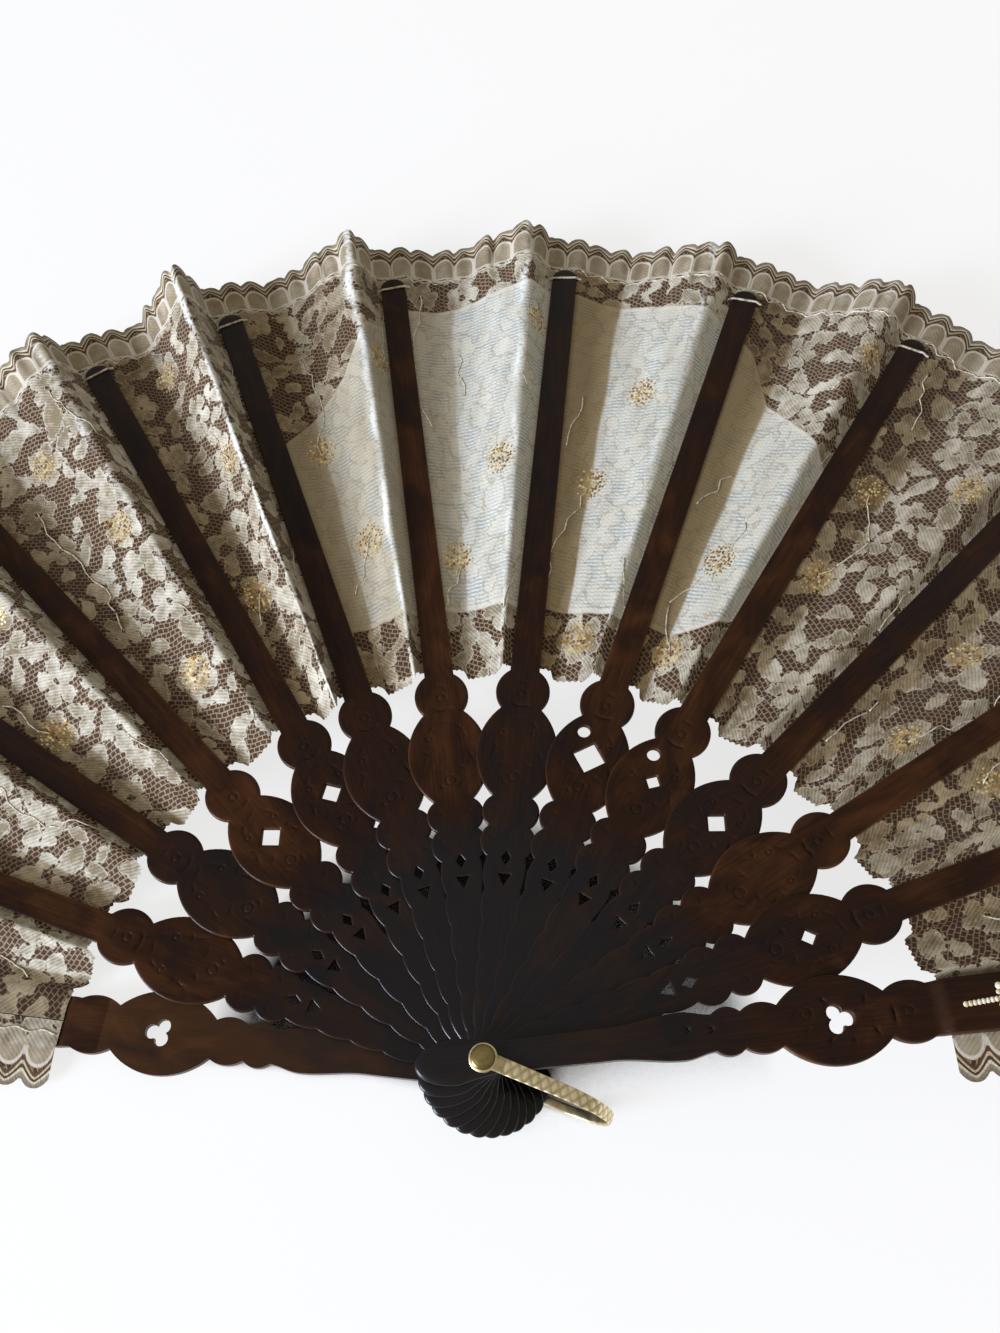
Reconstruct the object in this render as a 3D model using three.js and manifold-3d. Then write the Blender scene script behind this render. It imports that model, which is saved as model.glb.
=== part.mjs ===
// Lace folding fan, lying open on its back guard: twelve pierced ribs and two guards on one
// rivet, a pleated lace leaf glued under the ribs, a plain fabric panel behind the leaf's
// middle folds and a hanging bail on the rivet. Millimetres, +Z up. The rivet's axis is Z,
// Z = 0 is the plane the fan lies on, and +Y runs up the middle of the leaf.
import * as THREE from 'three';
import { mergeVertices } from 'three/addons/utils/BufferGeometryUtils.js';
import Module from 'manifold-3d';

const wasm = await Module();
wasm.setup();

// Opening: the angle of the back guard, then each gap to the next stick, clockwise, in degrees
const BACK_GUARD_ANGLE = 173;
const STICK_GAPS = [13, 13.5, 12.5, 13.5, 10.5, 12.5, 13, 13.5, 12.5, 13.5, 12.5, 12.5, 14];

// Thicknesses of the stack on the rivet
const STACK_CLEARANCE = 0.1;
const RIB_THICKNESS = 1.1;
const SLIP_THICKNESS = 0.55;
const GUARD_THICKNESS = 1.8;
const BLADE_RECESS = 0.5;

// Rivet and the two eyes of the bail on it
const PIN_RADIUS = 1.1;
const PIN_CLEARANCE = 0.1;
const TAIL_THICKNESS = 0.5;
const TAIL_RADIUS = 2.1;
const RIVET_HEAD_RADIUS = 2.35;
const RIVET_HEAD_HEIGHT = 0.9;
const BAIL_THICKNESS = 0.8;
const BAIL_EYE_RADIUS = 2.7;
const BAIL_REACH = 26;
const BAIL_ANGLE = -22;
const BAIL_FRONT_WIDTH = 3.1;
const BAIL_REAR_WIDTH = 1.6;
const BAIL_END_WIDTH = 2.3;

// Sticks, measured along each stick from the rivet's axis, with half widths across it
const HEAD_REACH = 12.9;
const HEAD_WIDEST = 5;
const HEAD_HALF = 4.3;
const NECK_START = 7;
const NECK_HALF = 2.8;
const NECK_SCALLOPS = 5;
const SCALLOP_SWELL = 0.55;
const RIB_NECK_END = { along: 42.1, half: 4 };
const SLIP_HALF = 3.3;
const RIB_REACH = 210;
const TIP_ROUND = 3.3;
const GUARD_WAIST = { along: 24, half: 3 };
const GUARD_HIP = { along: 37.5, half: 4.4 };
const GUARD_NECK_END = { along: 43.4, half: 3.4 };
const GUARD_REACH = RIB_REACH + 3;
const BLADE_START_HALF = 5.1;
const BLADE_HALF = 6.7;
const BLADE_TAPER = 31;
const BLADE_TIP_ROUND = 16;

// Lobes of the gorge, measured along the stick from the end of its neck. The third is the widest.
const RIB_LOBES = [
  { peak: 3.4, peakHalf: 5.8, end: 6.8, endHalf: 4.3, steps: 3 },
  { peak: 10.1, peakHalf: 6.1, end: 13.5, endHalf: 4.2, steps: 3 },
  { peak: 24, peakHalf: 8.8, end: 34.6, endHalf: 4.4, steps: 7 },
  { peak: 39.3, peakHalf: 6, end: 43.9, endHalf: SLIP_HALF, steps: 4 },
];
const GUARD_LOBES = [
  { peak: 2.8, peakHalf: 4.5, end: 5.5, endHalf: 3.4, steps: 3 },
  { peak: 8.8, peakHalf: 4.7, end: 12.5, endHalf: 3.8, steps: 3 },
  { peak: 22.4, peakHalf: 8.3, end: 33, endHalf: 4.3, steps: 8 },
  { peak: 37, peakHalf: 5.8, end: 41.2, endHalf: 4.9, steps: 4 },
];
const SLIP_STEP = RIB_NECK_END.along + RIB_LOBES[3].end + 0.5;
const BLADE_START = GUARD_NECK_END.along + GUARD_LOBES[3].end + 3.4;

// Piercings: those of the widest lobe lie beyond its peak, those of the neck before its end
const PIERCING_BEYOND_PEAK = 1.3;
const RIB_DIAMONDS = [0, 0, 2.6, 2.4, 0, 0, 0, 3.6, 1.7, 2.4, 0, 1.6];
const EYED_RIBS = [8, 9];
const EYE = { beyondPeak: 6.9, across: 2.9, radius: 1.4 };
const NECK_DIAMOND = { beforeEnd: 0.2, length: 1.6, half: 1 };
const NECK_TRIANGLE = { beforeEnd: 4.9, length: 1.3, half: 1.4 };
const TREFOIL_RADIUS = 1.45;

// Leaf, glued under the ribs' slips, in gentle pleats with one valley and one crest a gap
const LEAF_THICKNESS = 0.2;
const LEAF_CLEARANCE = 0.1;
const LEAF_INNER = SLIP_STEP + 0.5;
const LEAF_OUTER = RIB_REACH + 10.5;
const SEAM_GAP = 0.3;
const GLUED_BEYOND_SLIP = 0.6;
const VALLEY_OFFSET = { inner: 2.9, outer: 11.6 };
const VALLEY_DEPTH = { inner: 1, outer: 4 };
const CREST_OFFSET = { inner: 1.4, outer: 5.6 };
const CREST_HEIGHTS = [7, 8, 8, 9, 13, 9, 7, 5, 7, 6, 6, 6, 6];
const CREST_INNER_SHARE = 0.22;
const TABLE_CLEARANCE = 0.1;
const PICOT_PITCH = 6.2;
const PICOT_DEPTH = 2;
const MARGIN_WIDTH = 11.5;

// Fabric panel behind the leaf, over the four gaps round the rib at its middle
const PANEL_MIDDLE_STICK = 7;
const PANEL_THICKNESS = 0.2;
const PANEL_CLEARANCE = 0.3;
const PANEL_INNER = LEAF_INNER + 16;
const PANEL_OUTER = RIB_REACH - 8;
const PANEL_SIDE_INSET = 0.9;
const PANEL_TOP = [
  { angle: 0, drop: 0 },
  { angle: 12, drop: 4 },
  { angle: 15.5, drop: 12 },
  { angle: 18, drop: 26 },
  { angle: 26, drop: 44 },
];

// Heights of everything in the stack, from the table up
const BLADE_STEP = TAIL_THICKNESS + BAIL_THICKNESS + 2 * STACK_CLEARANCE;
const RIB_COUNT = STICK_GAPS.length - 1;
const RIB_PITCH = RIB_THICKNESS + STACK_CLEARANCE;
const FIRST_RIB_BASE = BLADE_STEP + GUARD_THICKNESS + STACK_CLEARANCE;
const FRONT_GUARD_BASE = FIRST_RIB_BASE + RIB_COUNT * RIB_PITCH;
const FRONT_EYE_BASE = FRONT_GUARD_BASE + GUARD_THICKNESS + STACK_CLEARANCE;
const RIVET_HEAD_BASE = FRONT_EYE_BASE + BAIL_THICKNESS + STACK_CLEARANCE;
const REAR_EYE_BASE = TAIL_THICKNESS + STACK_CLEARANCE;
const HOLE_RADIUS = PIN_RADIUS + PIN_CLEARANCE;
const CURVE_STEPS = 10;

const LAST_STICK = STICK_GAPS.length;
const stickAngles = [BACK_GUARD_ANGLE];
for (const gap of STICK_GAPS) {
  stickAngles.push(stickAngles.at(-1) - gap);
}

const WOOD = new THREE.MeshStandardMaterial({ color: 0x241612, roughness: 0.4 });
const BRASS = new THREE.MeshStandardMaterial({ color: 0xc9a95c, roughness: 0.3, metalness: 1 });
const LACE = new THREE.MeshStandardMaterial({ color: 0xc8b998, roughness: 0.8 });
const LINEN = new THREE.MeshStandardMaterial({ color: 0xcfcab8, roughness: 0.8 });

function toSolid(geometry) {
  geometry.deleteAttribute('normal');
  geometry.deleteAttribute('uv');
  const merged = mergeVertices(geometry);
  const vertProperties = merged.getAttribute('position').array;
  const triVerts = Uint32Array.from(merged.getIndex().array);
  return new wasm.Manifold(new wasm.Mesh({ numProp: 3, vertProperties, triVerts }));
}

function toGeometry(solid) {
  const { vertProperties, triVerts } = solid.getMesh();
  const geometry = new THREE.BufferGeometry();
  geometry.setAttribute('position', new THREE.BufferAttribute(vertProperties, 3));
  geometry.setIndex(new THREE.BufferAttribute(triVerts, 1));
  geometry.computeVertexNormals();
  return geometry;
}

function extrude(shape, depth, lift = 0) {
  const settings = { depth, bevelEnabled: false, curveSegments: CURVE_STEPS };
  const geometry = new THREE.ExtrudeGeometry(shape, settings);
  geometry.translate(0, 0, lift);
  return geometry;
}

// Points after a on the circle through a, b and c, in even steps, ending at c
function arcPoints(a, b, c, steps) {
  const d = 2 * (a.x * (b.y - c.y) + b.x * (c.y - a.y) + c.x * (a.y - b.y));
  const [aa, bb, cc] = [a.lengthSq(), b.lengthSq(), c.lengthSq()];
  const x = (aa * (b.y - c.y) + bb * (c.y - a.y) + cc * (a.y - b.y)) / d;
  const y = (aa * (c.x - b.x) + bb * (a.x - c.x) + cc * (b.x - a.x)) / d;
  const centre = new THREE.Vector2(x, y);
  const start = a.clone().sub(centre);
  const end = c.clone().sub(centre);
  const sweep = Math.atan2(start.cross(end), start.dot(end));
  const points = [];
  for (let step = 1; step <= steps; step += 1) {
    points.push(a.clone().rotateAround(centre, (sweep * step) / steps));
  }
  return points;
}

// A round-ended stretch from the centre line at tip to half width half, at tip less length
function tipPoints(tip, length, half, steps) {
  const points = [];
  for (let step = 0; step <= steps; step += 1) {
    const turn = (Math.PI / 2) * (step / steps);
    points.push(new THREE.Vector2(tip - length * (1 - Math.cos(turn)), half * Math.sin(turn)));
  }
  return points;
}

function headPoints() {
  const nose = tipPoints(-HEAD_REACH, HEAD_WIDEST - HEAD_REACH, HEAD_HALF, 5);
  const neck = new THREE.Vector2(NECK_START, NECK_HALF);
  const throat = new THREE.Vector2((NECK_START - HEAD_WIDEST) / 2, NECK_HALF + 0.35);
  return [...nose, ...arcPoints(nose.at(-1), throat, neck, 3)];
}

function scallopedNeck(from, end) {
  const points = [];
  let last = from;
  for (let scallop = 1; scallop <= NECK_SCALLOPS; scallop += 1) {
    const next = from.clone().lerp(new THREE.Vector2(end.along, end.half), scallop / NECK_SCALLOPS);
    points.push(last.clone().lerp(next, 0.55).add(new THREE.Vector2(0, SCALLOP_SWELL)));
    points.push(next);
    last = next;
  }
  return points;
}

function lobePoints(from, lobes) {
  const points = [];
  let last = from;
  for (const lobe of lobes) {
    const peak = new THREE.Vector2(from.x + lobe.peak, lobe.peakHalf);
    const end = new THREE.Vector2(from.x + lobe.end, lobe.endHalf);
    points.push(...arcPoints(last, peak, end, lobe.steps));
    last = end;
  }
  return points;
}

function symmetricShape(edge) {
  const lower = edge
    .filter((point) => point.y > 1e-6)
    .map((point) => new THREE.Vector2(point.x, -point.y));
  return new THREE.Shape([...edge.toReversed(), ...lower]);
}

function roundHole(x, y, radius) {
  return new THREE.Path().absarc(x, y, radius, 0, 2 * Math.PI, false);
}

function diamondHole(x, length, half) {
  const corners = [[x - length, 0], [x, -half], [x + length, 0], [x, half]];
  return new THREE.Path(corners.map(([along, across]) => new THREE.Vector2(along, across)));
}

function triangleHole(x, length, half) {
  const corners = [[x - length, 0], [x + length, -half], [x + length, half]];
  return new THREE.Path(corners.map(([along, across]) => new THREE.Vector2(along, across)));
}

function trefoilHole(x, radius) {
  const hole = new THREE.Path();
  for (let leaf = 0; leaf < 3; leaf += 1) {
    const turn = (leaf * 2 * Math.PI) / 3;
    const centre = [x + radius * Math.cos(turn), radius * Math.sin(turn)];
    hole.absarc(...centre, radius, turn - (2 * Math.PI) / 3, turn + (2 * Math.PI) / 3, false);
  }
  return hole;
}

// A rib in its own frame: underside at Z = 0, the rivet's axis on Z and the slip along +X
function ribGeometry(rib) {
  const head = headPoints();
  const neck = scallopedNeck(head.at(-1), RIB_NECK_END);
  const widest = RIB_NECK_END.along + RIB_LOBES[2].peak;
  const [neckDiamond, neckTriangle] = [NECK_DIAMOND, NECK_TRIANGLE].map((hole) => ({
    ...hole,
    along: RIB_NECK_END.along - hole.beforeEnd,
  }));
  const lobes = lobePoints(neck.at(-1), RIB_LOBES);
  const tip = tipPoints(RIB_REACH, TIP_ROUND, SLIP_HALF, 4).toReversed();
  const shape = symmetricShape([...head, ...neck, ...lobes, ...tip]);
  shape.holes.push(roundHole(0, 0, HOLE_RADIUS));
  shape.holes.push(diamondHole(neckDiamond.along, neckDiamond.length, neckDiamond.half));
  shape.holes.push(triangleHole(neckTriangle.along, neckTriangle.length, neckTriangle.half));
  const diamond = RIB_DIAMONDS[rib - 1];
  if (diamond > 0) {
    shape.holes.push(diamondHole(widest + PIERCING_BEYOND_PEAK, diamond, diamond));
  }
  if (EYED_RIBS.includes(rib)) {
    shape.holes.push(roundHole(widest + EYE.beyondPeak, EYE.across, EYE.radius));
  }
  const relief = RIB_THICKNESS - SLIP_THICKNESS;
  const length = RIB_REACH - SLIP_STEP + TIP_ROUND;
  const cutter = new THREE.BoxGeometry(length, 4 * SLIP_HALF, 2 * relief);
  cutter.translate(SLIP_STEP + length / 2, 0, 0);
  return toGeometry(toSolid(extrude(shape, RIB_THICKNESS)).subtract(toSolid(cutter)));
}

// A guard in its own frame: inner face at Z = 0, outer face up. The blade stands proud of the
// gorge on the outside and is cut back on the inside, where the leaf is glued.
function guardGeometry() {
  const head = headPoints();
  const waist = new THREE.Vector2(GUARD_WAIST.along, GUARD_WAIST.half);
  const hip = new THREE.Vector2(GUARD_HIP.along, GUARD_HIP.half);
  const neckEnd = new THREE.Vector2(GUARD_NECK_END.along, GUARD_NECK_END.half);
  const lobes = lobePoints(neckEnd, GUARD_LOBES);
  const bladeStart = new THREE.Vector2(BLADE_START, BLADE_START_HALF);
  const gorge = symmetricShape([...head, waist, hip, neckEnd, ...lobes, bladeStart]);
  gorge.holes.push(roundHole(0, 0, HOLE_RADIUS));
  const widestLobe = GUARD_NECK_END.along + GUARD_LOBES[2].peak;
  gorge.holes.push(trefoilHole(widestLobe + PIERCING_BEYOND_PEAK, TREFOIL_RADIUS));
  const shoulder = lobes.at(-1);
  const widest = new THREE.Vector2(GUARD_REACH - BLADE_TAPER, BLADE_HALF);
  const middle = bladeStart.clone().lerp(widest, 0.5);
  const tip = tipPoints(GUARD_REACH, BLADE_TIP_ROUND, BLADE_HALF, 7).toReversed();
  const blade = symmetricShape([shoulder, bladeStart, middle, widest, ...tip]);
  const bladeThickness = GUARD_THICKNESS + BLADE_STEP - BLADE_RECESS;
  const cutter = new THREE.BoxGeometry(GUARD_REACH, 4 * BLADE_HALF, 2 * BLADE_RECESS);
  cutter.translate(SLIP_STEP + GUARD_REACH / 2, 0, 0);
  const gorgeSolid = toSolid(extrude(gorge, GUARD_THICKNESS)).subtract(toSolid(cutter));

  const slope = new THREE.Shape([
    new THREE.Vector2(shoulder.x - BLADE_STEP, -GUARD_THICKNESS),
    new THREE.Vector2(shoulder.x, -GUARD_THICKNESS),
    new THREE.Vector2(bladeStart.x, -GUARD_THICKNESS - BLADE_STEP),
    new THREE.Vector2(bladeStart.x, -GUARD_THICKNESS - 2 * BLADE_STEP),
    new THREE.Vector2(shoulder.x - BLADE_STEP, -GUARD_THICKNESS - 2 * BLADE_STEP),
  ]);
  const slopeCutter = extrude(slope, 4 * BLADE_HALF, -2 * BLADE_HALF);
  slopeCutter.rotateX(-Math.PI / 2);
  const bladeSolid = toSolid(extrude(blade, bladeThickness, BLADE_RECESS)).subtract(toSolid(slopeCutter));
  return toGeometry(gorgeSolid.add(bladeSolid));
}

function rivetGeometry() {
  const dome = tipPoints(RIVET_HEAD_HEIGHT, RIVET_HEAD_HEIGHT, RIVET_HEAD_RADIUS, 4);
  const profile = [
    new THREE.Vector2(0, 0),
    new THREE.Vector2(TAIL_RADIUS, 0),
    new THREE.Vector2(TAIL_RADIUS, TAIL_THICKNESS),
    new THREE.Vector2(PIN_RADIUS, TAIL_THICKNESS),
    new THREE.Vector2(PIN_RADIUS, RIVET_HEAD_BASE),
    ...dome.toReversed().map((point) => new THREE.Vector2(point.y, RIVET_HEAD_BASE + point.x)),
  ];
  return new THREE.LatheGeometry(profile, 2 * CURVE_STEPS);
}

// The bail is a strap bent into a U that straddles the stack, narrower behind than in front.
// It is made along +X: the bent strap, cut to its taper from the side and from above, plus eyes.
function bailGeometry() {
  const low = REAR_EYE_BASE;
  const high = FRONT_EYE_BASE + BAIL_THICKNESS;
  const bend = (high - low) / 2;
  const bendCentre = BAIL_REACH - bend;
  const outline = new THREE.Shape();
  outline.moveTo(0, low);
  outline.absarc(bendCentre, low + bend, bend, -Math.PI / 2, Math.PI / 2, false);
  outline.lineTo(0, high);
  outline.lineTo(0, high - BAIL_THICKNESS);
  outline.absarc(bendCentre, low + bend, bend - BAIL_THICKNESS, Math.PI / 2, -Math.PI / 2, true);
  outline.lineTo(0, low + BAIL_THICKNESS);
  outline.closePath();
  const strap = extrude(outline, 2 * BAIL_FRONT_WIDTH, -BAIL_FRONT_WIDTH);
  strap.rotateX(Math.PI / 2);

  const frontHalf = BAIL_FRONT_WIDTH / 2;
  const rearHalf = BAIL_REAR_WIDTH / 2;
  const endHalf = BAIL_END_WIDTH / 2;
  const fromEnd = new THREE.Shape([
    new THREE.Vector2(-rearHalf, 0),
    new THREE.Vector2(rearHalf, 0),
    new THREE.Vector2(frontHalf, high + BAIL_THICKNESS),
    new THREE.Vector2(-frontHalf, high + BAIL_THICKNESS),
  ]);
  const sideTaper = extrude(fromEnd, BAIL_REACH + 1);
  sideTaper.rotateX(Math.PI / 2);
  sideTaper.rotateZ(Math.PI / 2);
  const fromAbove = new THREE.Shape([
    new THREE.Vector2(0, -frontHalf),
    new THREE.Vector2(BAIL_REACH + 1, -endHalf),
    new THREE.Vector2(BAIL_REACH + 1, endHalf),
    new THREE.Vector2(0, frontHalf),
  ]);
  const topTaper = extrude(fromAbove, high + BAIL_THICKNESS);
  let bail = toSolid(strap).intersect(toSolid(sideTaper)).intersect(toSolid(topTaper));

  const eye = new THREE.Shape().absarc(0, 0, BAIL_EYE_RADIUS, 0, 2 * Math.PI, false);
  const bore = new THREE.Shape().absarc(0, 0, HOLE_RADIUS, 0, 2 * Math.PI, false);
  for (const base of [REAR_EYE_BASE, FRONT_EYE_BASE]) {
    bail = bail.add(toSolid(extrude(eye, BAIL_THICKNESS, base)));
  }
  return toGeometry(bail.subtract(toSolid(extrude(bore, high + BAIL_THICKNESS))));
}

const isGuard = (stick) => stick === 0 || stick === LAST_STICK;
const ribBase = (stick) => FIRST_RIB_BASE + (stick - 1) * RIB_PITCH;

// Height of the leaf's underside where it is glued to a stick
function leafLevel(stick) {
  if (stick === 0) {
    return FIRST_RIB_BASE - STACK_CLEARANCE - BLADE_RECESS + LEAF_CLEARANCE;
  }
  const glueFace = isGuard(stick)
    ? FRONT_GUARD_BASE + BLADE_RECESS
    : ribBase(stick) + RIB_THICKNESS - SLIP_THICKNESS;
  return glueFace - LEAF_CLEARANCE - LEAF_THICKNESS;
}

// Half width of the leaf that lies flat on a stick, at the leaf's inner or outer edge
function gluedHalf(stick, edge) {
  const guardHalf = edge === 'inner' ? BLADE_START_HALF : BLADE_HALF;
  return (isGuard(stick) ? guardHalf : SLIP_HALF) + GLUED_BEYOND_SLIP;
}

// The fold lines of the leaf from one stick to the next, as a point on each edge of the leaf
function foldLines(gap) {
  const crest = CREST_HEIGHTS[gap];
  const edges = {};
  for (const edge of ['inner', 'outer']) {
    const radius = edge === 'inner' ? LEAF_INNER : LEAF_OUTER;
    const share = edge === 'inner' ? CREST_INNER_SHARE : 1;
    const [near, far] = [leafLevel(gap), leafLevel(gap + 1)];
    const [flatNear, flatFar] = [gluedHalf(gap, edge), gluedHalf(gap + 1, edge)];
    const valley = Math.max(near - VALLEY_DEPTH[edge], TABLE_CLEARANCE);
    const nearAngle = THREE.MathUtils.degToRad(stickAngles[gap]);
    const farAngle = THREE.MathUtils.degToRad(stickAngles[gap + 1]);
    const point = (angle, z) =>
      new THREE.Vector3(radius * Math.cos(angle), radius * Math.sin(angle), z);
    edges[edge] = [
      point(nearAngle - SEAM_GAP / 2 / radius, near),
      point(nearAngle - flatNear / radius, near),
      point(nearAngle - (flatNear + VALLEY_OFFSET[edge]) / radius, valley),
      point(farAngle + (flatFar + CREST_OFFSET[edge]) / radius, far + share * crest),
      point(farAngle + flatFar / radius, far),
      point(farAngle + SEAM_GAP / 2 / radius, far),
    ];
  }
  return edges.inner.map((inner, index) => ({ inner, outer: edges.outer[index] }));
}

function lineBetween(a, b, share) {
  return { inner: a.inner.clone().lerp(b.inner, share), outer: a.outer.clone().lerp(b.outer, share) };
}

function onLine(line, radius) {
  return line.inner.clone().lerp(line.outer, (radius - LEAF_INNER) / (LEAF_OUTER - LEAF_INNER));
}

// A closed sheet over a row of lines, from point start to point end on each of them
function sheetGeometry(columns, thickness) {
  const positions = [];
  const index = [];
  const lift = new THREE.Vector3(0, 0, thickness);
  for (const { start, end } of columns) {
    for (const corner of [start, end, start.clone().add(lift), end.clone().add(lift)]) {
      positions.push(...corner);
    }
  }
  const quad = (a, b, c, d) => index.push(a, b, c, a, c, d);
  for (let column = 0; column + 1 < columns.length; column += 1) {
    const [a, b] = [4 * column, 4 * column + 4];
    quad(a, a + 1, b + 1, b);
    quad(a + 2, b + 2, b + 3, a + 3);
    quad(a, b, b + 2, a + 2);
    quad(a + 1, a + 3, b + 3, b + 1);
  }
  const last = 4 * (columns.length - 1);
  quad(0, 2, 3, 1);
  quad(last, last + 1, last + 3, last + 2);
  const geometry = new THREE.BufferGeometry();
  geometry.setAttribute('position', new THREE.Float32BufferAttribute(positions, 3));
  geometry.setIndex(index);
  geometry.computeVertexNormals();
  return geometry;
}

// One pleat, from stick to stick, with picots along its outer edge
function pleatGeometry(gap) {
  const folds = foldLines(gap);
  const columns = [{ start: folds[0].inner, end: onLine(folds[0], LEAF_OUTER) }];
  for (let fold = 0; fold + 1 < folds.length; fold += 1) {
    const width = folds[fold].outer.distanceTo(folds[fold + 1].outer);
    const halves = 2 * Math.max(1, Math.round(width / PICOT_PITCH));
    for (let half = 1; half <= halves; half += 1) {
      const line = lineBetween(folds[fold], folds[fold + 1], half / halves);
      const reach = half % 2 === 1 ? LEAF_OUTER + PICOT_DEPTH : LEAF_OUTER;
      columns.push({ start: line.inner, end: onLine(line, reach) });
    }
  }
  return sheetGeometry(columns, LEAF_THICKNESS);
}

// The leaf's end beyond a guard, along +X with the guard's centre line on X, and its picots
function marginGeometry() {
  const points = [new THREE.Vector2(LEAF_INNER, SEAM_GAP / 2), new THREE.Vector2(LEAF_OUTER, SEAM_GAP / 2)];
  const sides = [
    { from: [LEAF_OUTER, SEAM_GAP / 2], to: [LEAF_OUTER, MARGIN_WIDTH], out: [PICOT_DEPTH, 0] },
    { from: [LEAF_OUTER, MARGIN_WIDTH], to: [LEAF_INNER, MARGIN_WIDTH], out: [0, PICOT_DEPTH] },
  ];
  for (const side of sides) {
    const [from, to, out] = [side.from, side.to, side.out].map((pair) => new THREE.Vector2(...pair));
    const halves = 2 * Math.round(from.distanceTo(to) / PICOT_PITCH);
    for (let half = 1; half <= halves; half += 1) {
      const point = from.clone().lerp(to, half / halves);
      points.push(half % 2 === 1 ? point.add(out) : point);
    }
  }
  return extrude(new THREE.Shape(points), LEAF_THICKNESS);
}

// How far from the rivet the panel reaches, at an angle from its middle rib
function panelTop(angle) {
  const next = PANEL_TOP.findIndex((corner) => corner.angle >= Math.abs(angle));
  if (next < 1) {
    return PANEL_OUTER - (next === 0 ? PANEL_TOP[0].drop : PANEL_TOP.at(-1).drop);
  }
  const [a, b] = [PANEL_TOP[next - 1], PANEL_TOP[next]];
  const share = (Math.abs(angle) - a.angle) / (b.angle - a.angle);
  return PANEL_OUTER - THREE.MathUtils.lerp(a.drop, b.drop, share);
}

// The piece of panel under one pleat. Its lines follow the pleat's, and its outer ends the top.
function panelGeometry(gap) {
  const folds = foldLines(gap);
  if (gap === PANEL_MIDDLE_STICK - 2) {
    folds[0] = lineBetween(folds[0], folds[1], PANEL_SIDE_INSET / gluedHalf(gap, 'inner'));
  }
  if (gap === PANEL_MIDDLE_STICK + 1) {
    folds[5] = lineBetween(folds[5], folds[4], PANEL_SIDE_INSET / gluedHalf(gap, 'inner'));
  }
  const drop = new THREE.Vector3(0, 0, -PANEL_CLEARANCE - PANEL_THICKNESS);
  const columns = [];
  for (let fold = 0; fold < folds.length; fold += 1) {
    const steps = fold === 0 || fold === 5 ? 1 : 2;
    for (let step = fold === 0 ? steps : 1; step <= steps; step += 1) {
      const before = folds[Math.max(fold - 1, 0)];
      const line = lineBetween(before, folds[fold], step / steps);
      const middle = onLine(line, (PANEL_INNER + PANEL_OUTER) / 2);
      const angle = THREE.MathUtils.radToDeg(Math.atan2(middle.y, middle.x));
      const top = panelTop(angle - stickAngles[PANEL_MIDDLE_STICK]);
      columns.push({ start: onLine(line, PANEL_INNER).add(drop), end: onLine(line, top).add(drop) });
    }
  }
  return sheetGeometry(columns, PANEL_THICKNESS);
}

function addMesh(parent, name, geometry, material) {
  const mesh = new THREE.Mesh(geometry, material);
  mesh.name = name;
  parent.add(mesh);
  return mesh;
}

function onStick(stick, height) {
  const group = new THREE.Group();
  group.rotation.z = THREE.MathUtils.degToRad(stickAngles[stick]);
  group.position.z = height;
  return group;
}

const number = (count) => String(count).padStart(2, '0');

const fan = new THREE.Group();
fan.name = 'lace_folding_fan';

// The back guard is the front guard turned over, so that its outer face is down
const backGuard = onStick(0, BLADE_STEP + GUARD_THICKNESS);
addMesh(backGuard, 'back_guard', guardGeometry(), WOOD).rotation.x = Math.PI;
fan.add(backGuard);
addMesh(fan, 'rivet', rivetGeometry().rotateX(Math.PI / 2), BRASS);

for (let rib = 1; rib <= RIB_COUNT; rib += 1) {
  const group = onStick(rib, ribBase(rib));
  addMesh(group, `rib_${number(rib)}`, ribGeometry(rib), WOOD);
  fan.add(group);
}
const frontGuard = onStick(LAST_STICK, FRONT_GUARD_BASE);
addMesh(frontGuard, 'front_guard', guardGeometry(), WOOD);
fan.add(frontGuard);

const bail = addMesh(fan, 'bail', bailGeometry(), BRASS);
bail.rotation.z = THREE.MathUtils.degToRad(BAIL_ANGLE);

for (let gap = 0; gap < STICK_GAPS.length; gap += 1) {
  addMesh(fan, `leaf_pleat_${number(gap + 1)}`, pleatGeometry(gap), LACE);
}
const backEnd = onStick(0, leafLevel(0));
addMesh(backEnd, 'leaf_end_back', marginGeometry(), LACE);
fan.add(backEnd);
const frontEnd = onStick(LAST_STICK, leafLevel(LAST_STICK) + LEAF_THICKNESS);
addMesh(frontEnd, 'leaf_end_front', marginGeometry(), LACE).rotation.x = Math.PI;
fan.add(frontEnd);

for (let piece = 1; piece <= 4; piece += 1) {
  const gap = PANEL_MIDDLE_STICK - 3 + piece;
  addMesh(fan, `panel_${piece}`, panelGeometry(gap), LINEN);
}

export default fan;
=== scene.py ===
"""Looks of a lace folding fan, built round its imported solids.

The open fan lies on its back guard. Sizes are in millimetres unless a name says otherwise, Z is up,
the rivet's axis is Z and +Y runs up the middle of the leaf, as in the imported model.
"""

import logging
import math
from collections.abc import Callable, Iterable, Sequence
from dataclasses import dataclass
from enum import Enum

import bpy
import numpy as np
from mathutils import Matrix, Vector
from mathutils.geometry import delaunay_2d_cdt


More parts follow.
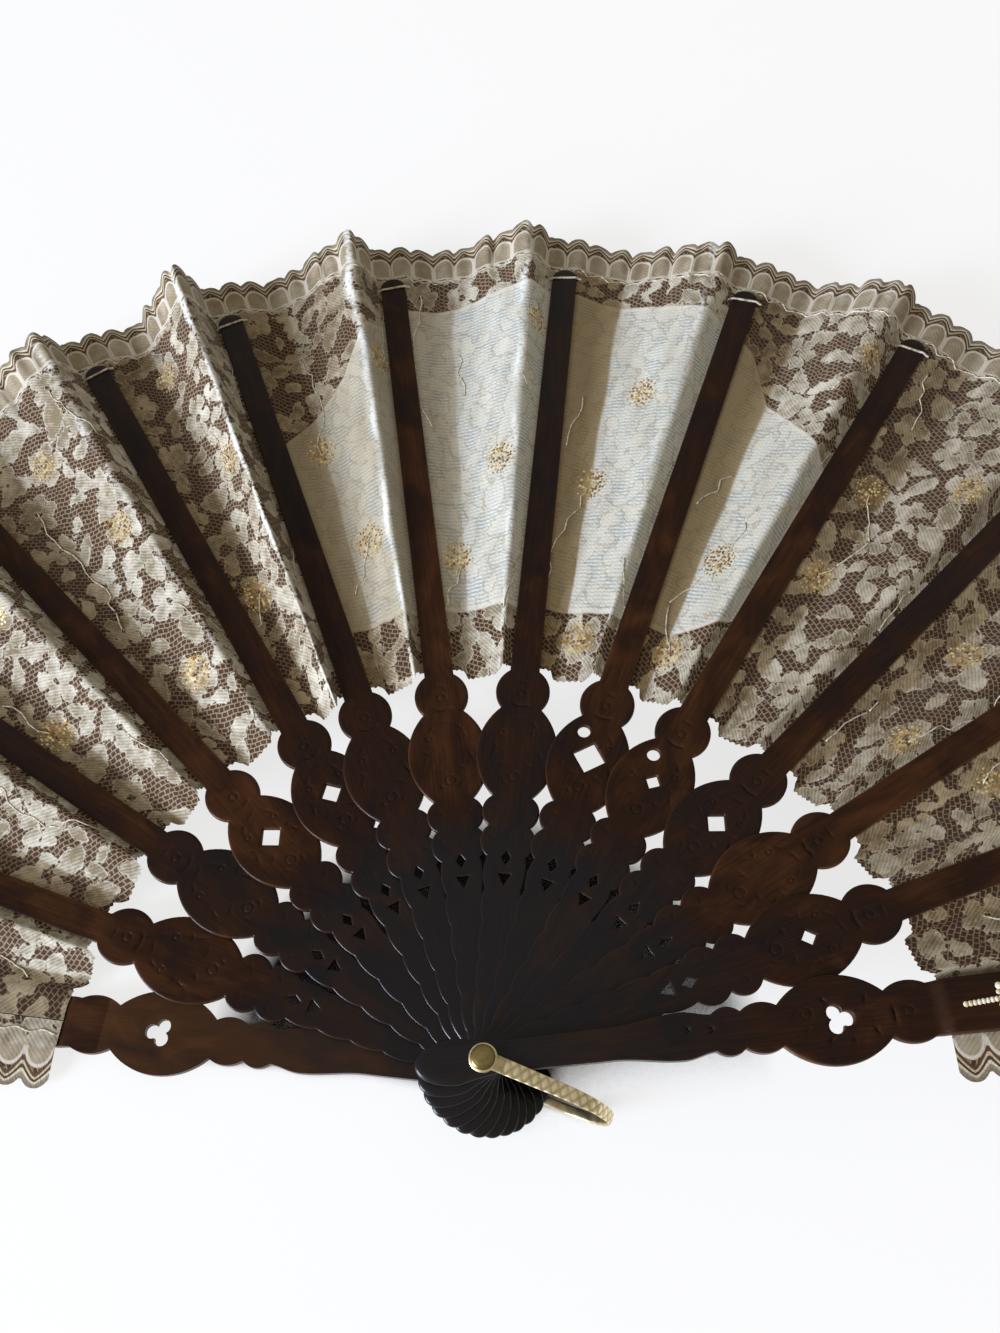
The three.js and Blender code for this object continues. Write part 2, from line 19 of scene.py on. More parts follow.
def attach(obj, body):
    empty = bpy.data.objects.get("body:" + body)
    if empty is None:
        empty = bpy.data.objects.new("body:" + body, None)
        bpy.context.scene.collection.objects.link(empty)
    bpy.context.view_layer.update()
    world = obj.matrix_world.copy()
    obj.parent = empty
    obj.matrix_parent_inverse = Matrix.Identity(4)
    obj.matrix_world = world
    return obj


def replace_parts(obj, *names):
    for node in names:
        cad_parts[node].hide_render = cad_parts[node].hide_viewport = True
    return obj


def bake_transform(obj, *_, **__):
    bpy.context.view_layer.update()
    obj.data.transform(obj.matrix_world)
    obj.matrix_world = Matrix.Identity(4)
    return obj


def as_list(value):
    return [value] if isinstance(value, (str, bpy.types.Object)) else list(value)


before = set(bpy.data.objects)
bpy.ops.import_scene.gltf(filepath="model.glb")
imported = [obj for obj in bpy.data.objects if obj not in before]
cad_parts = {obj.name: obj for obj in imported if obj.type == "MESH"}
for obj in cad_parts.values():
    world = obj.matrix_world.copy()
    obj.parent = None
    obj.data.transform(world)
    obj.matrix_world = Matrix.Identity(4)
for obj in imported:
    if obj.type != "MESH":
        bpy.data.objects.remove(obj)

LOG = logging.getLogger("fan")
MM = 0.001
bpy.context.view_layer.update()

# The stack of sticks, as the solids have it: angles in degrees, heights in millimetres
BACK_GUARD_ANGLE = 173.0
STICK_GAPS = (13, 13.5, 12.5, 13.5, 10.5, 12.5, 13, 13.5, 12.5, 13.5, 12.5, 12.5, 14)
FRONT_GUARD = len(STICK_GAPS)
GUARDS = (0, FRONT_GUARD)
RIB_THICKNESS = 1.1
SLIP_THICKNESS = 0.55
GUARD_THICKNESS = 1.8
BLADE_STEP = 1.5
BLADE_RECESS = 0.5
FIRST_RIB_BASE = 3.4
RIB_PITCH = 1.2
FRONT_GUARD_BASE = 17.8
LEAF_INNER = 87.0
LEAF_OUTER = 220.5
PANEL_STICK = 7

# The crease angle of cloth and cords, which have no sharp edge
SOFT = 180.0


class Slot(Enum):
    """The record's material slots, which a scene may repaint."""

    WOOD = "wood"
    BRASS = "brass"
    LACE = "lace"
    LINEN = "linen"


def linear(code: str) -> tuple[float, float, float, float]:
    """Turns an sRGB colour, as "#rrggbb", to the linear colour and alpha that a shader takes."""
    parts = (int(code[k : k + 2], 16) / 255 for k in (1, 3, 5))
    return *(p / 12.92 if p <= 0.04045 else ((p + 0.055) / 1.055) ** 2.4 for p in parts), 1.0


def smooth(value: np.ndarray, low: float, high: float) -> np.ndarray:
    """Rises smoothly from 0 at low to 1 at high."""
    share = np.clip((value - low) / (high - low), 0, 1)
    return share * share * (3 - 2 * share)


class Recipe:
    """A node tree on a material or a world, while it is put together."""

    usual = {
        "Mix": {"data_type": "RGBA"},
        "Math": {"operation": "MULTIPLY"},
        "VectorMath": {"operation": "MULTIPLY"},
    }

    def __init__(self, owner: bpy.types.Material | bpy.types.World) -> None:
        """Starts an empty tree.

        Args:
            owner: the material or the world that it is for.
        """
        owner.use_nodes = True
        self.owner, self.tree = owner, owner.node_tree
        self.tree.nodes.clear()

    def add(
        self,
        kind: str,
        *values: object,
        out: str = "",
        ramp: Sequence[tuple[float, str]] = (),
        named: dict[str, object] | None = None,
        **settings: object,
    ) -> bpy.types.NodeSocket | None:
        """Adds one node with its settings, its colour stops, its inputs and its links.

        Args:
            kind: the node's type, without the word that all of them begin with.
            *values: a value, a hex colour or an output for each open input in turn, or None to leave it.
            out: the output to give back, or else the first open one.
            ramp: the stops of a colour ramp, as positions and hex colours.
            named: further values, by the input's name.
            **settings: the node's own properties, where they aren't the usual ones.

        Returns:
            The wanted output, or None from a node that has no outputs.
        """
        node = self.tree.nodes.new(f"ShaderNode{kind}")
        for name, value in {**self.usual.get(kind, {}), **settings}.items():
            setattr(node, name, value)
        for index, (position, code) in enumerate(ramp):
            stops = node.color_ramp.elements
            stop = stops[index] if index < 2 else stops.new(position)
            stop.position, stop.color = position, linear(code)
        given = list(zip([socket for socket in node.inputs if socket.enabled], values))
        given += [(node.inputs[name], value) for name, value in (named or {}).items()]
        for socket, value in given:
            if isinstance(value, bpy.types.NodeSocket):
                self.tree.links.new(value, socket)
            elif value is not None:
                socket.default_value = linear(value) if isinstance(value, str) else value
        if out:
            return node.outputs[out]
        return next((socket for socket in node.outputs if socket.enabled), None)

    def finish(self, surface: bpy.types.NodeSocket) -> bpy.types.Material | bpy.types.World:
        """Links the surface to the tree's output and gives back the owner."""
        self.add("OutputWorld" if isinstance(self.owner, bpy.types.World) else "OutputMaterial", surface)
        return self.owner


Adder = Callable[..., bpy.types.NodeSocket]


@dataclass(frozen=True)
class Finish:
    """A finish of the fan. Each kind says what its shader takes in."""

    name: str

    def looks(self, add: Adder) -> dict[str, object]:
        """Adds the finish's nodes and gives the shader's inputs by name."""
        raise NotImplementedError

    def build(self) -> bpy.types.Material:
        """Builds the finish's material."""
        recipe = Recipe(bpy.data.materials.new(self.name))
        return recipe.finish(recipe.add("BsdfPrincipled", named=self.looks(recipe.add)))


@dataclass(frozen=True)
class DyedPearwood(Finish):
    """Pearwood, sawn thin, dyed to a near black and waxed.

    The dye and the wax sit thickest round the rivet, which looks blue-black and glossy. Where the
    wood was handled it wears to brown, in patches, and its edges show the bare wood.
    """

    name: str = "pearwood_dyed_waxed"
    dye: str = "#110e10"
    heart: str = "#291509"
    patch: str = "#4a2a12"
    worn: str = "#7a5330"
    pore_mm: float = 0.35
    figure_mm: float = 7.5
    roughness: float = 0.36

    def looks(self, add: Adder) -> dict[str, object]:
        """Reads a stick's own millimetres, warmth and edges off its mesh.

        Args:
            add: adds a node.

        Returns:
            The shader's inputs.
        """
        place = add("Attribute", out="Vector", attribute_name="stick_mm")
        warmth = add("Attribute", out="Fac", attribute_name="warmth")
        edge = add("Attribute", out="Fac", attribute_name="edge_mm")
        # Pores are streaks a third of a millimetre wide and thirty times as long
        streaks = add("VectorMath", place, (0.033 / self.pore_mm, 1 / self.pore_mm, 1 / self.pore_mm))
        pores = add("TexNoise", streaks, 1.0, 3.0, 0.6)
        broad = add("VectorMath", place, (0.5 / self.figure_mm, 1 / self.figure_mm, 1 / self.figure_mm))
        figure = add("TexNoise", broad, 1.0, 3.0, named={"Distortion": 0.8})
        tone = add("Math", figure, 1.1, warmth, operation="MULTIPLY_ADD")
        tones = ((0.0, self.dye), (0.5, self.heart), (1.0, self.patch))
        body = add("ValToRGB", add("MapRange", tone, 0.6, 1.45), ramp=tones)
        grain = add("MapRange", pores, 0.35, 0.65, 0.72, 1.22)
        grained = add("Mix", 1.0, body, grain, blend_type="MULTIPLY")
        rubbed = add("Math", add("MapRange", edge, 0.0, 0.35, 0.6, 0.0), figure)
        return {
            "Base Color": add("Mix", add("Math", rubbed, warmth), grained, self.worn),
            "Roughness": add("MapRange", pores, 0.3, 0.7, self.roughness + 0.1, self.roughness - 0.06),
            # Open pores are about 0.03 mm deep under the wax
            "Normal": add("Bump", 0.5, 0.00004, None, pores),
            "IOR": 1.45,
            "Specular IOR Level": 0.12,
            "Coat Weight": add("MapRange", warmth, 0.0, 0.4, 0.5, 0.1),
            "Coat Roughness": 0.2,
        }


@dataclass(frozen=True)
class MachineLace(Finish):
    """Cotton machine lace with gold thread, some of it over a sheer pale fabric.

    Close cloth stands on a net, whose holes are painted dark brown, as shade, in slanting rows of dashes.
    Along the crests of the folds the cloth is painted paler, a painted highlight, and by the sticks
    and on the pleats towards the front guard a tan of painted shade and glue stain darkens it.
    """

    name: str = "cotton_lace_woven"
    motif: str = "#85775b"
    motif_pale: str = "#d9d4c2"
    thread: str = "#937f60"
    # The net's holes: brown painted shade
    hole: str = "#2b1b12"
    hole_shade_warm: str = "#4d301a"
    lined: str = "#a3a89f"
    lined_pale: str = "#d9dedb"
    lined_motif: str = "#d6d2c0"
    # Painted shade on the lining by the sticks
    lined_shade: str = "#bcb6a4"
    petal: str = "#9c8d6f"
    # A painted shadow round the motifs over the lining
    outline: str = "#a3967a"
    # A painted highlight along the crests
    ridge_highlight: str = "#e6e7de"
    cord: str = "#d9d3c4"
    # A tan for painted shade and glue stain
    tan_tint: str = "#b9a582"
    arches: tuple[tuple[float, str], ...] = (
        (0.0, "#857b69"),
        (0.22, "#978c76"),
        (0.27, "#d6ccb3"),
        (0.37, "#d6ccb3"),
        (0.42, "#43301f"),
        (0.54, "#43301f"),
        (0.59, "#c6b895"),
        (0.69, "#c6b895"),
        (0.74, "#573b21"),
        (1.0, "#573b21"),
    )
    golds: tuple[tuple[float, str], ...] = (
        (0.0, "#76542a"),
        (0.4, "#ad8646"),
        (0.8, "#d8b970"),
        (1.0, "#f2e4b6"),
    )
    arches_mm: float = 4.8
    mesh_mm: float = 1.15
    twill_mm: float = 0.55

    def looks(self, add: Adder) -> dict[str, object]:
        """Reads how far each place is inside the cloth, the gold, the lining and the border.

        Args:
            add: adds a node.

        Returns:
            The shader's inputs.
        """
        names = ("cloth_mm", "gilt_mm", "lining_mm", "border_mm", "trim", "age", "painted_ridge")
        carried = [add("Attribute", out="Fac", attribute_name=name) for name in names]
        cloth, gilt, lining, border, trim, age, painted_ridge = carried
        place = add("Attribute", out="Vector", attribute_name="lace_mm")

        # The net: slanting rows of holes, each row half a mesh on from the last
        rotated = add("VectorRotate", place, named={"Angle": math.radians(28)})
        wander = add("TexNoise", place, 0.22, 1.0, out="Color")
        aslant = add("VectorMath", wander, (1.6, 1.6, 0), rotated, operation="MULTIPLY_ADD")
        rows = (0.19, 0.5, 0.0, 1.35 * self.mesh_mm, self.mesh_mm)
        net = add("TexBrick", aslant, "#000000", "#000000", "#ffffff", 1.0, *rows)

        # The cloth's edge steps from thread to thread, and its shapes swell and shrink
        stray = add("TexNoise", add("VectorMath", aslant, (0.8, 0.55, 1.0), operation="SNAP"), 0.9, 1.0)
        swell = add("TexNoise", place, 0.3, 1.5)
        uneven = add("Math", stray, 0.85, swell, operation="MULTIPLY_ADD")
        uneven = add("MapRange", uneven, 0.55, 1.3, -0.9, 1.5)
        calm = add("MapRange", trim, 0.0, 1.0, 1.0, 0.1)
        edge = add("Math", uneven, calm, cloth, operation="MULTIPLY_ADD")
        is_cloth = add("MapRange", edge, 0.0, 0.3)
        is_lined = add("MapRange", lining, -0.3, 0.3)

        # What shows through the net: brown, a painted shade, or a fabric with ribs a millimetre apart
        hole = add("Mix", add("TexNoise", place, 0.13, 4.0, 0.7), self.hole, self.hole_shade_warm)
        ribs = add("TexWave", place, 0.3, 1.6, 2.0, 0.6, out="Fac", bands_direction="Y")
        haze = add("MapRange", add("TexNoise", place, 0.17, 5.0, 0.65), 0.4, 0.62, 0.0, 0.75)
        backing = add("Mix", haze, add("Mix", ribs, self.lined, self.lined_pale), self.lined_motif)
        behind = add("Mix", is_lined, hole, backing)
        net_share = add("Math", net, add("MapRange", is_lined, 0.0, 1.0, 1.0, 0.25))
        hem = add("Math", add("MapRange", lining, 1.5, 0.9, 0.0, 0.85), is_lined)
        netting = add("Mix", hem, add("Mix", net_share, behind, self.thread), self.cord)

        # Close cloth, pale at its rim, ribbed by threads drawn twice as coarse as they are, to show
        ribbing = (0.31 / self.twill_mm, 2.0, 2.0)
        twill = add("TexWave", place, *ribbing, out="Fac", bands_direction="DIAGONAL")
        cloudy = add("TexNoise", place, 0.35, 4.0, 0.65)
        # Broad pale patches are a painted sheen
        painted_sheen = add("TexNoise", place, 0.07, 1.0)
        paling = add("Math", twill, 0.16, cloudy, operation="MULTIPLY_ADD")
        paling = add("Math", painted_sheen, 0.9, paling, operation="MULTIPLY_ADD")
        motif = add("Mix", add("MapRange", paling, 0.85, 1.3), self.motif, self.motif_pale)
        motif = add("Mix", is_lined, motif, self.lined_motif)
        motif = add("Mix", add("MapRange", trim, 0.0, 1.0, 0.0, 0.6), motif, self.petal)
        rim = add("Math", add("MapRange", edge, 0.0, 0.2), add("MapRange", edge, 0.75, 0.4, 0.0, 0.6))
        motif = add("Mix", rim, motif, self.motif_pale)
        cover = add("Math", is_cloth, add("MapRange", is_lined, 0.0, 1.0, 0.92, 0.4))
        woven = add("Mix", cover, netting, motif)
        # Painted shadow: over the lining, a darker tan band lies just outside each motif's edge
        shadow_beside = add("MapRange", edge, -0.6, -0.15)
        shadow_beside = add("Math", shadow_beside, is_cloth, operation="SUBTRACT", use_clamp=True)
        woven = add("Mix", add("Math", add("Math", shadow_beside, is_lined), cloudy), woven, self.outline)
        # Painted shade: where the tan is strong over the lining, the cloth turns a plainer grey-tan
        plain = add("Math", add("MapRange", age, 0.4, 0.8, 0.0, 0.5), is_lined)
        woven = add("Mix", plain, woven, self.lined_shade)

        # The border: petals with a pale rim, under nested arches of close and open work
        rim = add("Math", add("MapRange", cloth, 0.6, 0.4, 0.0, 0.75), add("MapRange", cloth, -0.1, 0.05))
        woven = add("Mix", add("Math", rim, trim), woven, self.cord)
        depth = add("MapRange", border, 0.0, self.arches_mm)
        in_arches = add("Math", add("MapRange", depth, 1.0, 0.95), add("MapRange", cloth, 0.0, -0.15))
        woven = add("Mix", in_arches, woven, add("ValToRGB", depth, ramp=self.arches))
        # Painted highlight: near each crest the cloth turns pale, as the light it catches there
        ridge_lit = add("MapRange", add("Math", painted_ridge, stray), 0.2, 0.45, 0.0, 0.9)
        woven = add("Mix", ridge_lit, woven, self.ridge_highlight)
        # A tan of painted shade, glue stain and plain tint multiplies the cloth's colour
        woven = add("Mix", 1.0, woven, add("Mix", age, "#ffffff", self.tan_tint), blend_type="MULTIPLY")

        # Gold thread: separate loops about 0.9 mm across
        loops = add("TexVoronoi", place, 1.1, voronoi_dimensions="2D")
        tone = add("SeparateColor", loops.node.outputs["Color"])
        is_gilt = add("Math", gilt, add("MapRange", loops, 0.2, 0.6, 0.5, -2.6), operation="ADD")
        is_gilt = add("MapRange", is_gilt, -0.1, 0.25)

        # Close cloth stands about 0.15 mm above the net's holes
        height = add("Math", net_share, is_cloth, operation="MAXIMUM")
        height = add("Math", twill, 0.25, height, operation="MULTIPLY_ADD")
        height = add("Math", is_gilt, loops, height, operation="MULTIPLY_ADD")
        return {
            "Base Color": add("Mix", is_gilt, woven, add("ValToRGB", tone, ramp=self.golds)),
            "Metallic": add("Math", is_gilt, 0.5),
            "Roughness": add("MapRange", is_gilt, 0.0, 1.0, 0.78, 0.34),
            "Normal": add("Bump", 0.4, 0.00012, None, height),
            "IOR": 1.46,
            "Specular IOR Level": 0.35,
            "Sheen Weight": 0.12,
            "Sheen Roughness": 0.5,
        }


@dataclass(frozen=True)
class TwistedThread(Finish):
    """Mercerised cotton thread, plied from two strands, with a faint silky shine."""

    name: str = "cotton_thread_mercerised"
    light: str = "#d3cab4"
    dark: str = "#958867"
    ply_mm: float = 1.0

    def looks(self, add: Adder) -> dict[str, object]:
        """Makes the thread lighter where a ply stands out.

        Args:
            add: adds a node.

        Returns:
            The shader's inputs.
        """
        in_mm = add("VectorMath", add("NewGeometry"), 1 / MM, operation="SCALE")
        plies = add("TexNoise", in_mm, 1 / self.ply_mm, 2.0)
        return {
            "Base Color": add("ValToRGB", plies, ramp=((0.35, self.dark), (0.6, self.light))),
            "Roughness": 0.55,
            "Normal": add("Bump", 0.4, 0.00005, None, plies),
            "Sheen Weight": 0.2,
            "IOR": 1.5,
        }


@dataclass(frozen=True)
class PlainLinen(Finish):
    """Bleached linen in plain weave, whose crossing threads show as a fine check."""

    name: str = "linen_plain_weave"
    shade: str = "#b9b5a3"
    light: str = "#e3e0d3"
    thread_mm: float = 0.4

    def looks(self, add: Adder) -> dict[str, object]:
        """Crosses two sets of threads.

        Args:
            add: adds a node.

        Returns:
            The shader's inputs.
        """
        place = add("Attribute", out="Vector", attribute_name="lace_mm")
        # A wave repeats at 0.31 over its scale; drawn at twice the thread spacing, to show
        wave = (place, 0.155 / self.thread_mm, 1.2, 1.0)
        warp, weft = (add("TexWave", *wave, out="Fac", bands_direction=axis) for axis in "XY")
        weave = add("Math", warp, weft)
        slubs = add("TexNoise", place, 0.25, 3.0)
        mixed = add("Math", weave, 0.6, slubs, operation="MULTIPLY_ADD")
        return {
            "Base Color": add("ValToRGB", mixed, ramp=((0.35, self.shade), (0.85, self.light))),
            "Roughness": 0.85,
            "Normal": add("Bump", 0.5, 0.0001, None, weave),
            "Sheen Weight": 0.15,
            "IOR": 1.5,
        }


@dataclass(frozen=True)
class GiltBrass(Finish):
    """Brass, stamped and gilt: pale where it is rubbed, and dark in its hollows."""

    name: str = "brass_stamped_gilt"
    bright: str = "#fbeec4"
    dull: str = "#8c6f36"
    spot_mm: float = 1.6
    roughness: float = 0.32

    def looks(self, add: Adder) -> dict[str, object]:
        """Makes the metal brighter where it stands out and is rubbed.

        Args:
            add: adds a node.

        Returns:
            The shader's inputs.
        """
        place = add("Attribute", out="Vector", attribute_name="metal_mm")
        proud = add("Attribute", out="Fac", attribute_name="proud")
        spots = add("TexNoise", place, 1 / self.spot_mm, 5.0, 0.6)
        mixed = add("Math", spots, 0.5, proud, operation="MULTIPLY_ADD")
        return {
            "Base Color": add("ValToRGB", mixed, ramp=((0.3, self.dull), (0.85, self.bright))),
            "Metallic": 1.0,
            "Roughness": add("MapRange", spots, 0.0, 1.0, self.roughness - 0.08, self.roughness + 0.14),
            "Normal": add("Bump", 0.35, 0.00004, None, spots),
        }


@dataclass(frozen=True)
class PaleEnamel(Finish):
    """Thick cream enamel paint, dotted on with a fine point, so each dot dries as a small dome."""

    name: str = "enamel_paint_dotted"
    cream: str = "#e6dfc4"
    ochre: str = "#b79a5e"

    def looks(self, add: Adder) -> dict[str, object]:
        """Leaves a little ochre in some of the dots.

        Args:
            add: adds a node.

        Returns:
            The shader's inputs.
        """
        in_mm = add("VectorMath", add("NewGeometry"), 1 / MM, operation="SCALE")
        batch = add("TexNoise", in_mm, 0.5, 2.0)
        tones = add("ValToRGB", batch, ramp=((0.4, self.cream), (0.75, self.ochre)))
        return {"Base Color": tones, "Roughness": 0.35, "IOR": 1.5}


@dataclass(frozen=True)
class MattPaper:
    """White paper for the floor, which the camera sees as near white under the object's shadow, painted
    darker as shade where the sticks cover it closely.
    """

    name: str = "floor_paper_matt"
    colour: str = "#f7f6f4"
    shade: str = "#4a4340"
    covered_within: float = 0.09
    open_share: tuple[float, float] = (0.28, 0.48)
    shaded_within: tuple[float, float] = (0.05, 0.058)
    paled: float = 0.74

    def build(self) -> bpy.types.Material:
        """Builds the paper's material; beneath the close-set sticks it keeps its whole shadow and its colour
        is painted darker, a painted shade.

        Returns:
            The material.
        """
        recipe = Recipe(bpy.data.materials.new(self.name))
        add = recipe.add
        rays = add("LightPath").node.outputs
        seen = add("Math", rays["Is Camera Ray"], rays["Is Glossy Ray"], operation="MAXIMUM")
        seen = add("Math", seen, rays["Is Transmission Ray"], operation="MAXIMUM")
        distance = add("VectorMath", add("NewGeometry"), operation="LENGTH")
        open_sky = add("AmbientOcclusion", None, self.covered_within, out="AO", samples=12)
        outside = add("MapRange", distance, *self.shaded_within)
        paling = add("Math", outside, add("MapRange", open_sky, *self.open_share), operation="MAXIMUM")
        # Painted shade: near the rivet, the paper's colour darkens to the shade colour where the sticks
        # cover it closely
        matt = add("BsdfDiffuse", add("Mix", paling, self.shade, self.colour))
        share = add("Math", seen, add("Math", paling, self.paled))
        return recipe.finish(add("MixShader", share, matt, add("Emission", "#ffffff", 1.03)))


class Finishes:
    """Every finish of the fan, built once."""

    def __init__(self) -> None:
        """Builds the materials."""
        self.wood = DyedPearwood().build()
        self.lace = MachineLace().build()
        self.thread = TwistedThread().build()
        self.linen = PlainLinen().build()
        self.gilt = GiltBrass().build()
        self.rivet = GiltBrass(name="brass_turned_worn", bright="#b3a26c", dull="#62552f").build()
        self.enamel = PaleEnamel().build()


def put(name: str, data: bpy.types.ID) -> bpy.types.Object:
    """Puts an object into the scene.

    Args:
        name: its name.
        data: its mesh, camera or lamp.

    Returns:
        The object.
    """
    placed = bpy.data.objects.new(name, data)
    bpy.context.scene.collection.objects.link(placed)
    return placed


def make_piece(
    name: str,
    points: np.ndarray,
    faces: Iterable[Sequence[int]],
    material: bpy.types.Material,
    carried: dict[str, np.ndarray] | None = None,
    crease: float = 40.0,
) -> bpy.types.Object:
    """Makes one mesh object from points in millimetres, and reports it.

    Args:
        name: the object's name.
        points: the points, with their coordinates last.
        faces: the point numbers of each face.
        material: the finish.
        carried: a value or a vector for each point, by attribute name.
        crease: the angle, in degrees, past which an edge stays sharp.

    Returns:
        The object.
    """
    mesh = bpy.data.meshes.new(name)
    mesh.from_pydata((points.reshape(-1, 3) * MM).tolist(), [], list(faces))
    mesh.update()
    for key, values in (carried or {}).items():
        kind, field = ("FLOAT_VECTOR", "vector") if values.shape == points.shape else ("FLOAT", "value")
        attribute = mesh.attributes.new(key, kind, "POINT")
        attribute.data.foreach_set(field, values.astype(np.float32).ravel())
    mesh.materials.append(material)
    mesh.shade_smooth()
    mesh.set_sharp_from_angle(angle=math.radians(crease))
    LOG.info("%s: %d faces", name, len(mesh.polygons))
    return put(name, mesh)


def numbered(rows: int, columns: int, around: bool = False, back: bool = False) -> np.ndarray:
    """Numbers points in rows and columns; around repeats the first column at the end, back the first row."""
    index = np.arange(rows * columns).reshape(rows, columns)
    return np.pad(index, ((0, int(back)), (0, int(around))), "wrap")


def cells(index: np.ndarray) -> list[list[int]]:
    """The faces between neighbouring rows and columns of point numbers."""
    corners = index[:-1, 1:], index[:-1, :-1], index[1:, :-1], index[1:, 1:]
    return np.stack(corners, -1).reshape(-1, 4).tolist()


def fan_faces(peak: int, rim: np.ndarray) -> list[list[int]]:
    """The triangles between a peak and the neighbours on a rim."""
    return [[peak, here, there] for here, there in zip(rim.tolist(), rim[1:].tolist())]


def turned(x: np.ndarray, y: np.ndarray, z: np.ndarray, angle: np.ndarray) -> np.ndarray:
    """Turns points about the rivet by an angle in radians and puts their coordinates last."""
    cos, sin = np.cos(angle), np.sin(angle)
    return np.stack(np.broadcast_arrays(x * cos - y * sin, x * sin + y * cos, z), -1)


def spun(profile: Sequence[tuple[float, float]], turns: int) -> np.ndarray:
    """Turns a profile of radii and heights on the rivet's axis, into a row of points for each pair."""
    radius, height = np.array(profile).T[..., None]
    return turned(radius, 0.0, height, math.tau * np.arange(turns) / turns)


def unit(vectors: np.ndarray) -> np.ndarray:
    """Scales vectors to a length of 1."""
    return vectors / (np.linalg.norm(vectors, axis=-1, keepdims=True) + 1e-12)


def run_lengths(points: np.ndarray) -> np.ndarray:
    """How far along its row each point lies."""
    steps = np.linalg.norm(np.diff(points, axis=-2), axis=-1)
    return np.concatenate([np.zeros_like(steps[..., :1]), np.cumsum(steps, -1)], -1)


def stick_body(stick: int) -> str:
    """The CAD body of a stick, counted from the back guard at 0."""
    return {0: "back_guard", FRONT_GUARD: "front_guard"}.get(stick, f"rib_{stick:02d}")


def stick_angle(stick: int) -> float:
    """The angle of a stick round the rivet, in radians."""
    return math.radians(BACK_GUARD_ANGLE - sum(STICK_GAPS[:stick]))


def rib_base(rib: int) -> float:
    """The height of a rib's underside."""
    return FIRST_RIB_BASE + (rib - 1) * RIB_PITCH


def leaf_level(stick: int) -> float:
    """The height of the leaf's underside where it is glued to a stick."""
    return {0: 2.9, FRONT_GUARD: 18.0}.get(stick, rib_base(stick) + 0.25)


# In a stick's own frame its face is a plane of complex numbers: real along it, imaginary across


def oval(centre: float, along: float, half: float, turns: np.ndarray) -> list[complex]:
    """Points of an oval about a centre on the middle line, at turns in radians."""
    return list(centre + along * np.cos(turns) + 1j * half * np.sin(turns))


def circle_arc(a: complex, b: complex, c: complex, steps: int) -> list[complex]:
    """Points after a on the circle through three points.

    Args:
        a: the start.
        b: a point on the way.
        c: the end.
        steps: how many points to give.

    Returns:
        Points in even steps, ending at c.
    """
    w = (c - a) / (b - a)
    centre = (b - a) * (w - abs(w) ** 2) / (2j * w.imag) + a
    sweep = np.angle((c - centre) / (a - centre))
    return [centre + (a - centre) * np.exp(1j * sweep * step / steps) for step in range(1, steps + 1)]


def closed_loop(edge: Sequence[complex], coarse_from: float) -> np.ndarray:
    """Mirrors one side's edge across the centre line and adds points along its long stretches.

    Args:
        edge: the upper side, from the nose on the centre line to the tip on it.
        coarse_from: how far along the stick the coarse part begins.

    Returns:
        The loop's points, anticlockwise.
    """
    side = [p for p in edge if p.imag > 1e-6]
    ring = [edge[0], *[p.conjugate() for p in side], edge[-1], *reversed(side)]
    points: list[complex] = []
    for here, there in zip(ring, ring[1:] + ring[:1]):
        longest = 3.0 if min(here.real, there.real) > coarse_from else 0.5
        count = max(1, math.ceil(abs(there - here) / longest))
        points += [here + (there - here) * step / count for step in range(count)]
    return np.array(points)


def edge_distance(points: np.ndarray, loops: Sequence[np.ndarray]) -> np.ndarray:
    """The distance from each point to the nearest edge of several loops.

    Args:
        points: the points.
        loops: closed loops of points.

    Returns:
        One distance for each point.
    """
    nearest = np.full(len(points), np.inf)
    for loop in loops:
        span = np.roll(loop, -1) - loop
        for first in range(0, len(points), 2000):
            rel = points[first : first + 2000, None] - loop
            gap = np.abs(rel - np.clip((rel / span).real, 0, 1) * span).min(1)
            nearest[first : first + 2000] = np.minimum(nearest[first : first + 2000], gap)
    return nearest


def inside(points: np.ndarray, loop: np.ndarray) -> np.ndarray:
    """Tells which points lie inside a loop.

    Args:
        points: the points.
        loop: a closed loop of points.

    Returns:
        True or False for each point.
    """
    here, after = points[:, None], np.roll(loop, -1)
    crosses = (loop.imag > here.imag) != (after.imag > here.imag)
    rise = np.where(after.imag == loop.imag, 1e-12, after.imag - loop.imag)
    meets = (after.real - loop.real) * (here.imag - loop.imag) / rise + loop.real
    return (crosses & (here.real < meets)).sum(1) % 2 == 1


def round_hole(centre: complex, radius: float, count: int = 20) -> np.ndarray:
    """A round piercing as a loop."""
    return centre + radius * np.exp(1j * np.linspace(0, math.tau, count, endpoint=False))


def polygon_hole(corners: Sequence[complex]) -> np.ndarray:
    """A straight-sided piercing as a loop, with each side cut into four pieces."""
    ring = np.array(corners)[:, None]
    return (ring + (np.roll(ring, -1) - ring) * np.arange(4) / 4).ravel()


def trefoil_hole(centre: float, radius: float) -> np.ndarray:
    """A piercing of three round leaves, the first of them pointing to the tip, as a loop."""
    sweep = np.exp(1j * np.linspace(-math.tau / 3, math.tau / 3, 11)[:-1])
    return (centre + radius * np.exp(1j * math.tau / 3 * np.arange(3))[:, None] * (1 + sweep)).ravel()


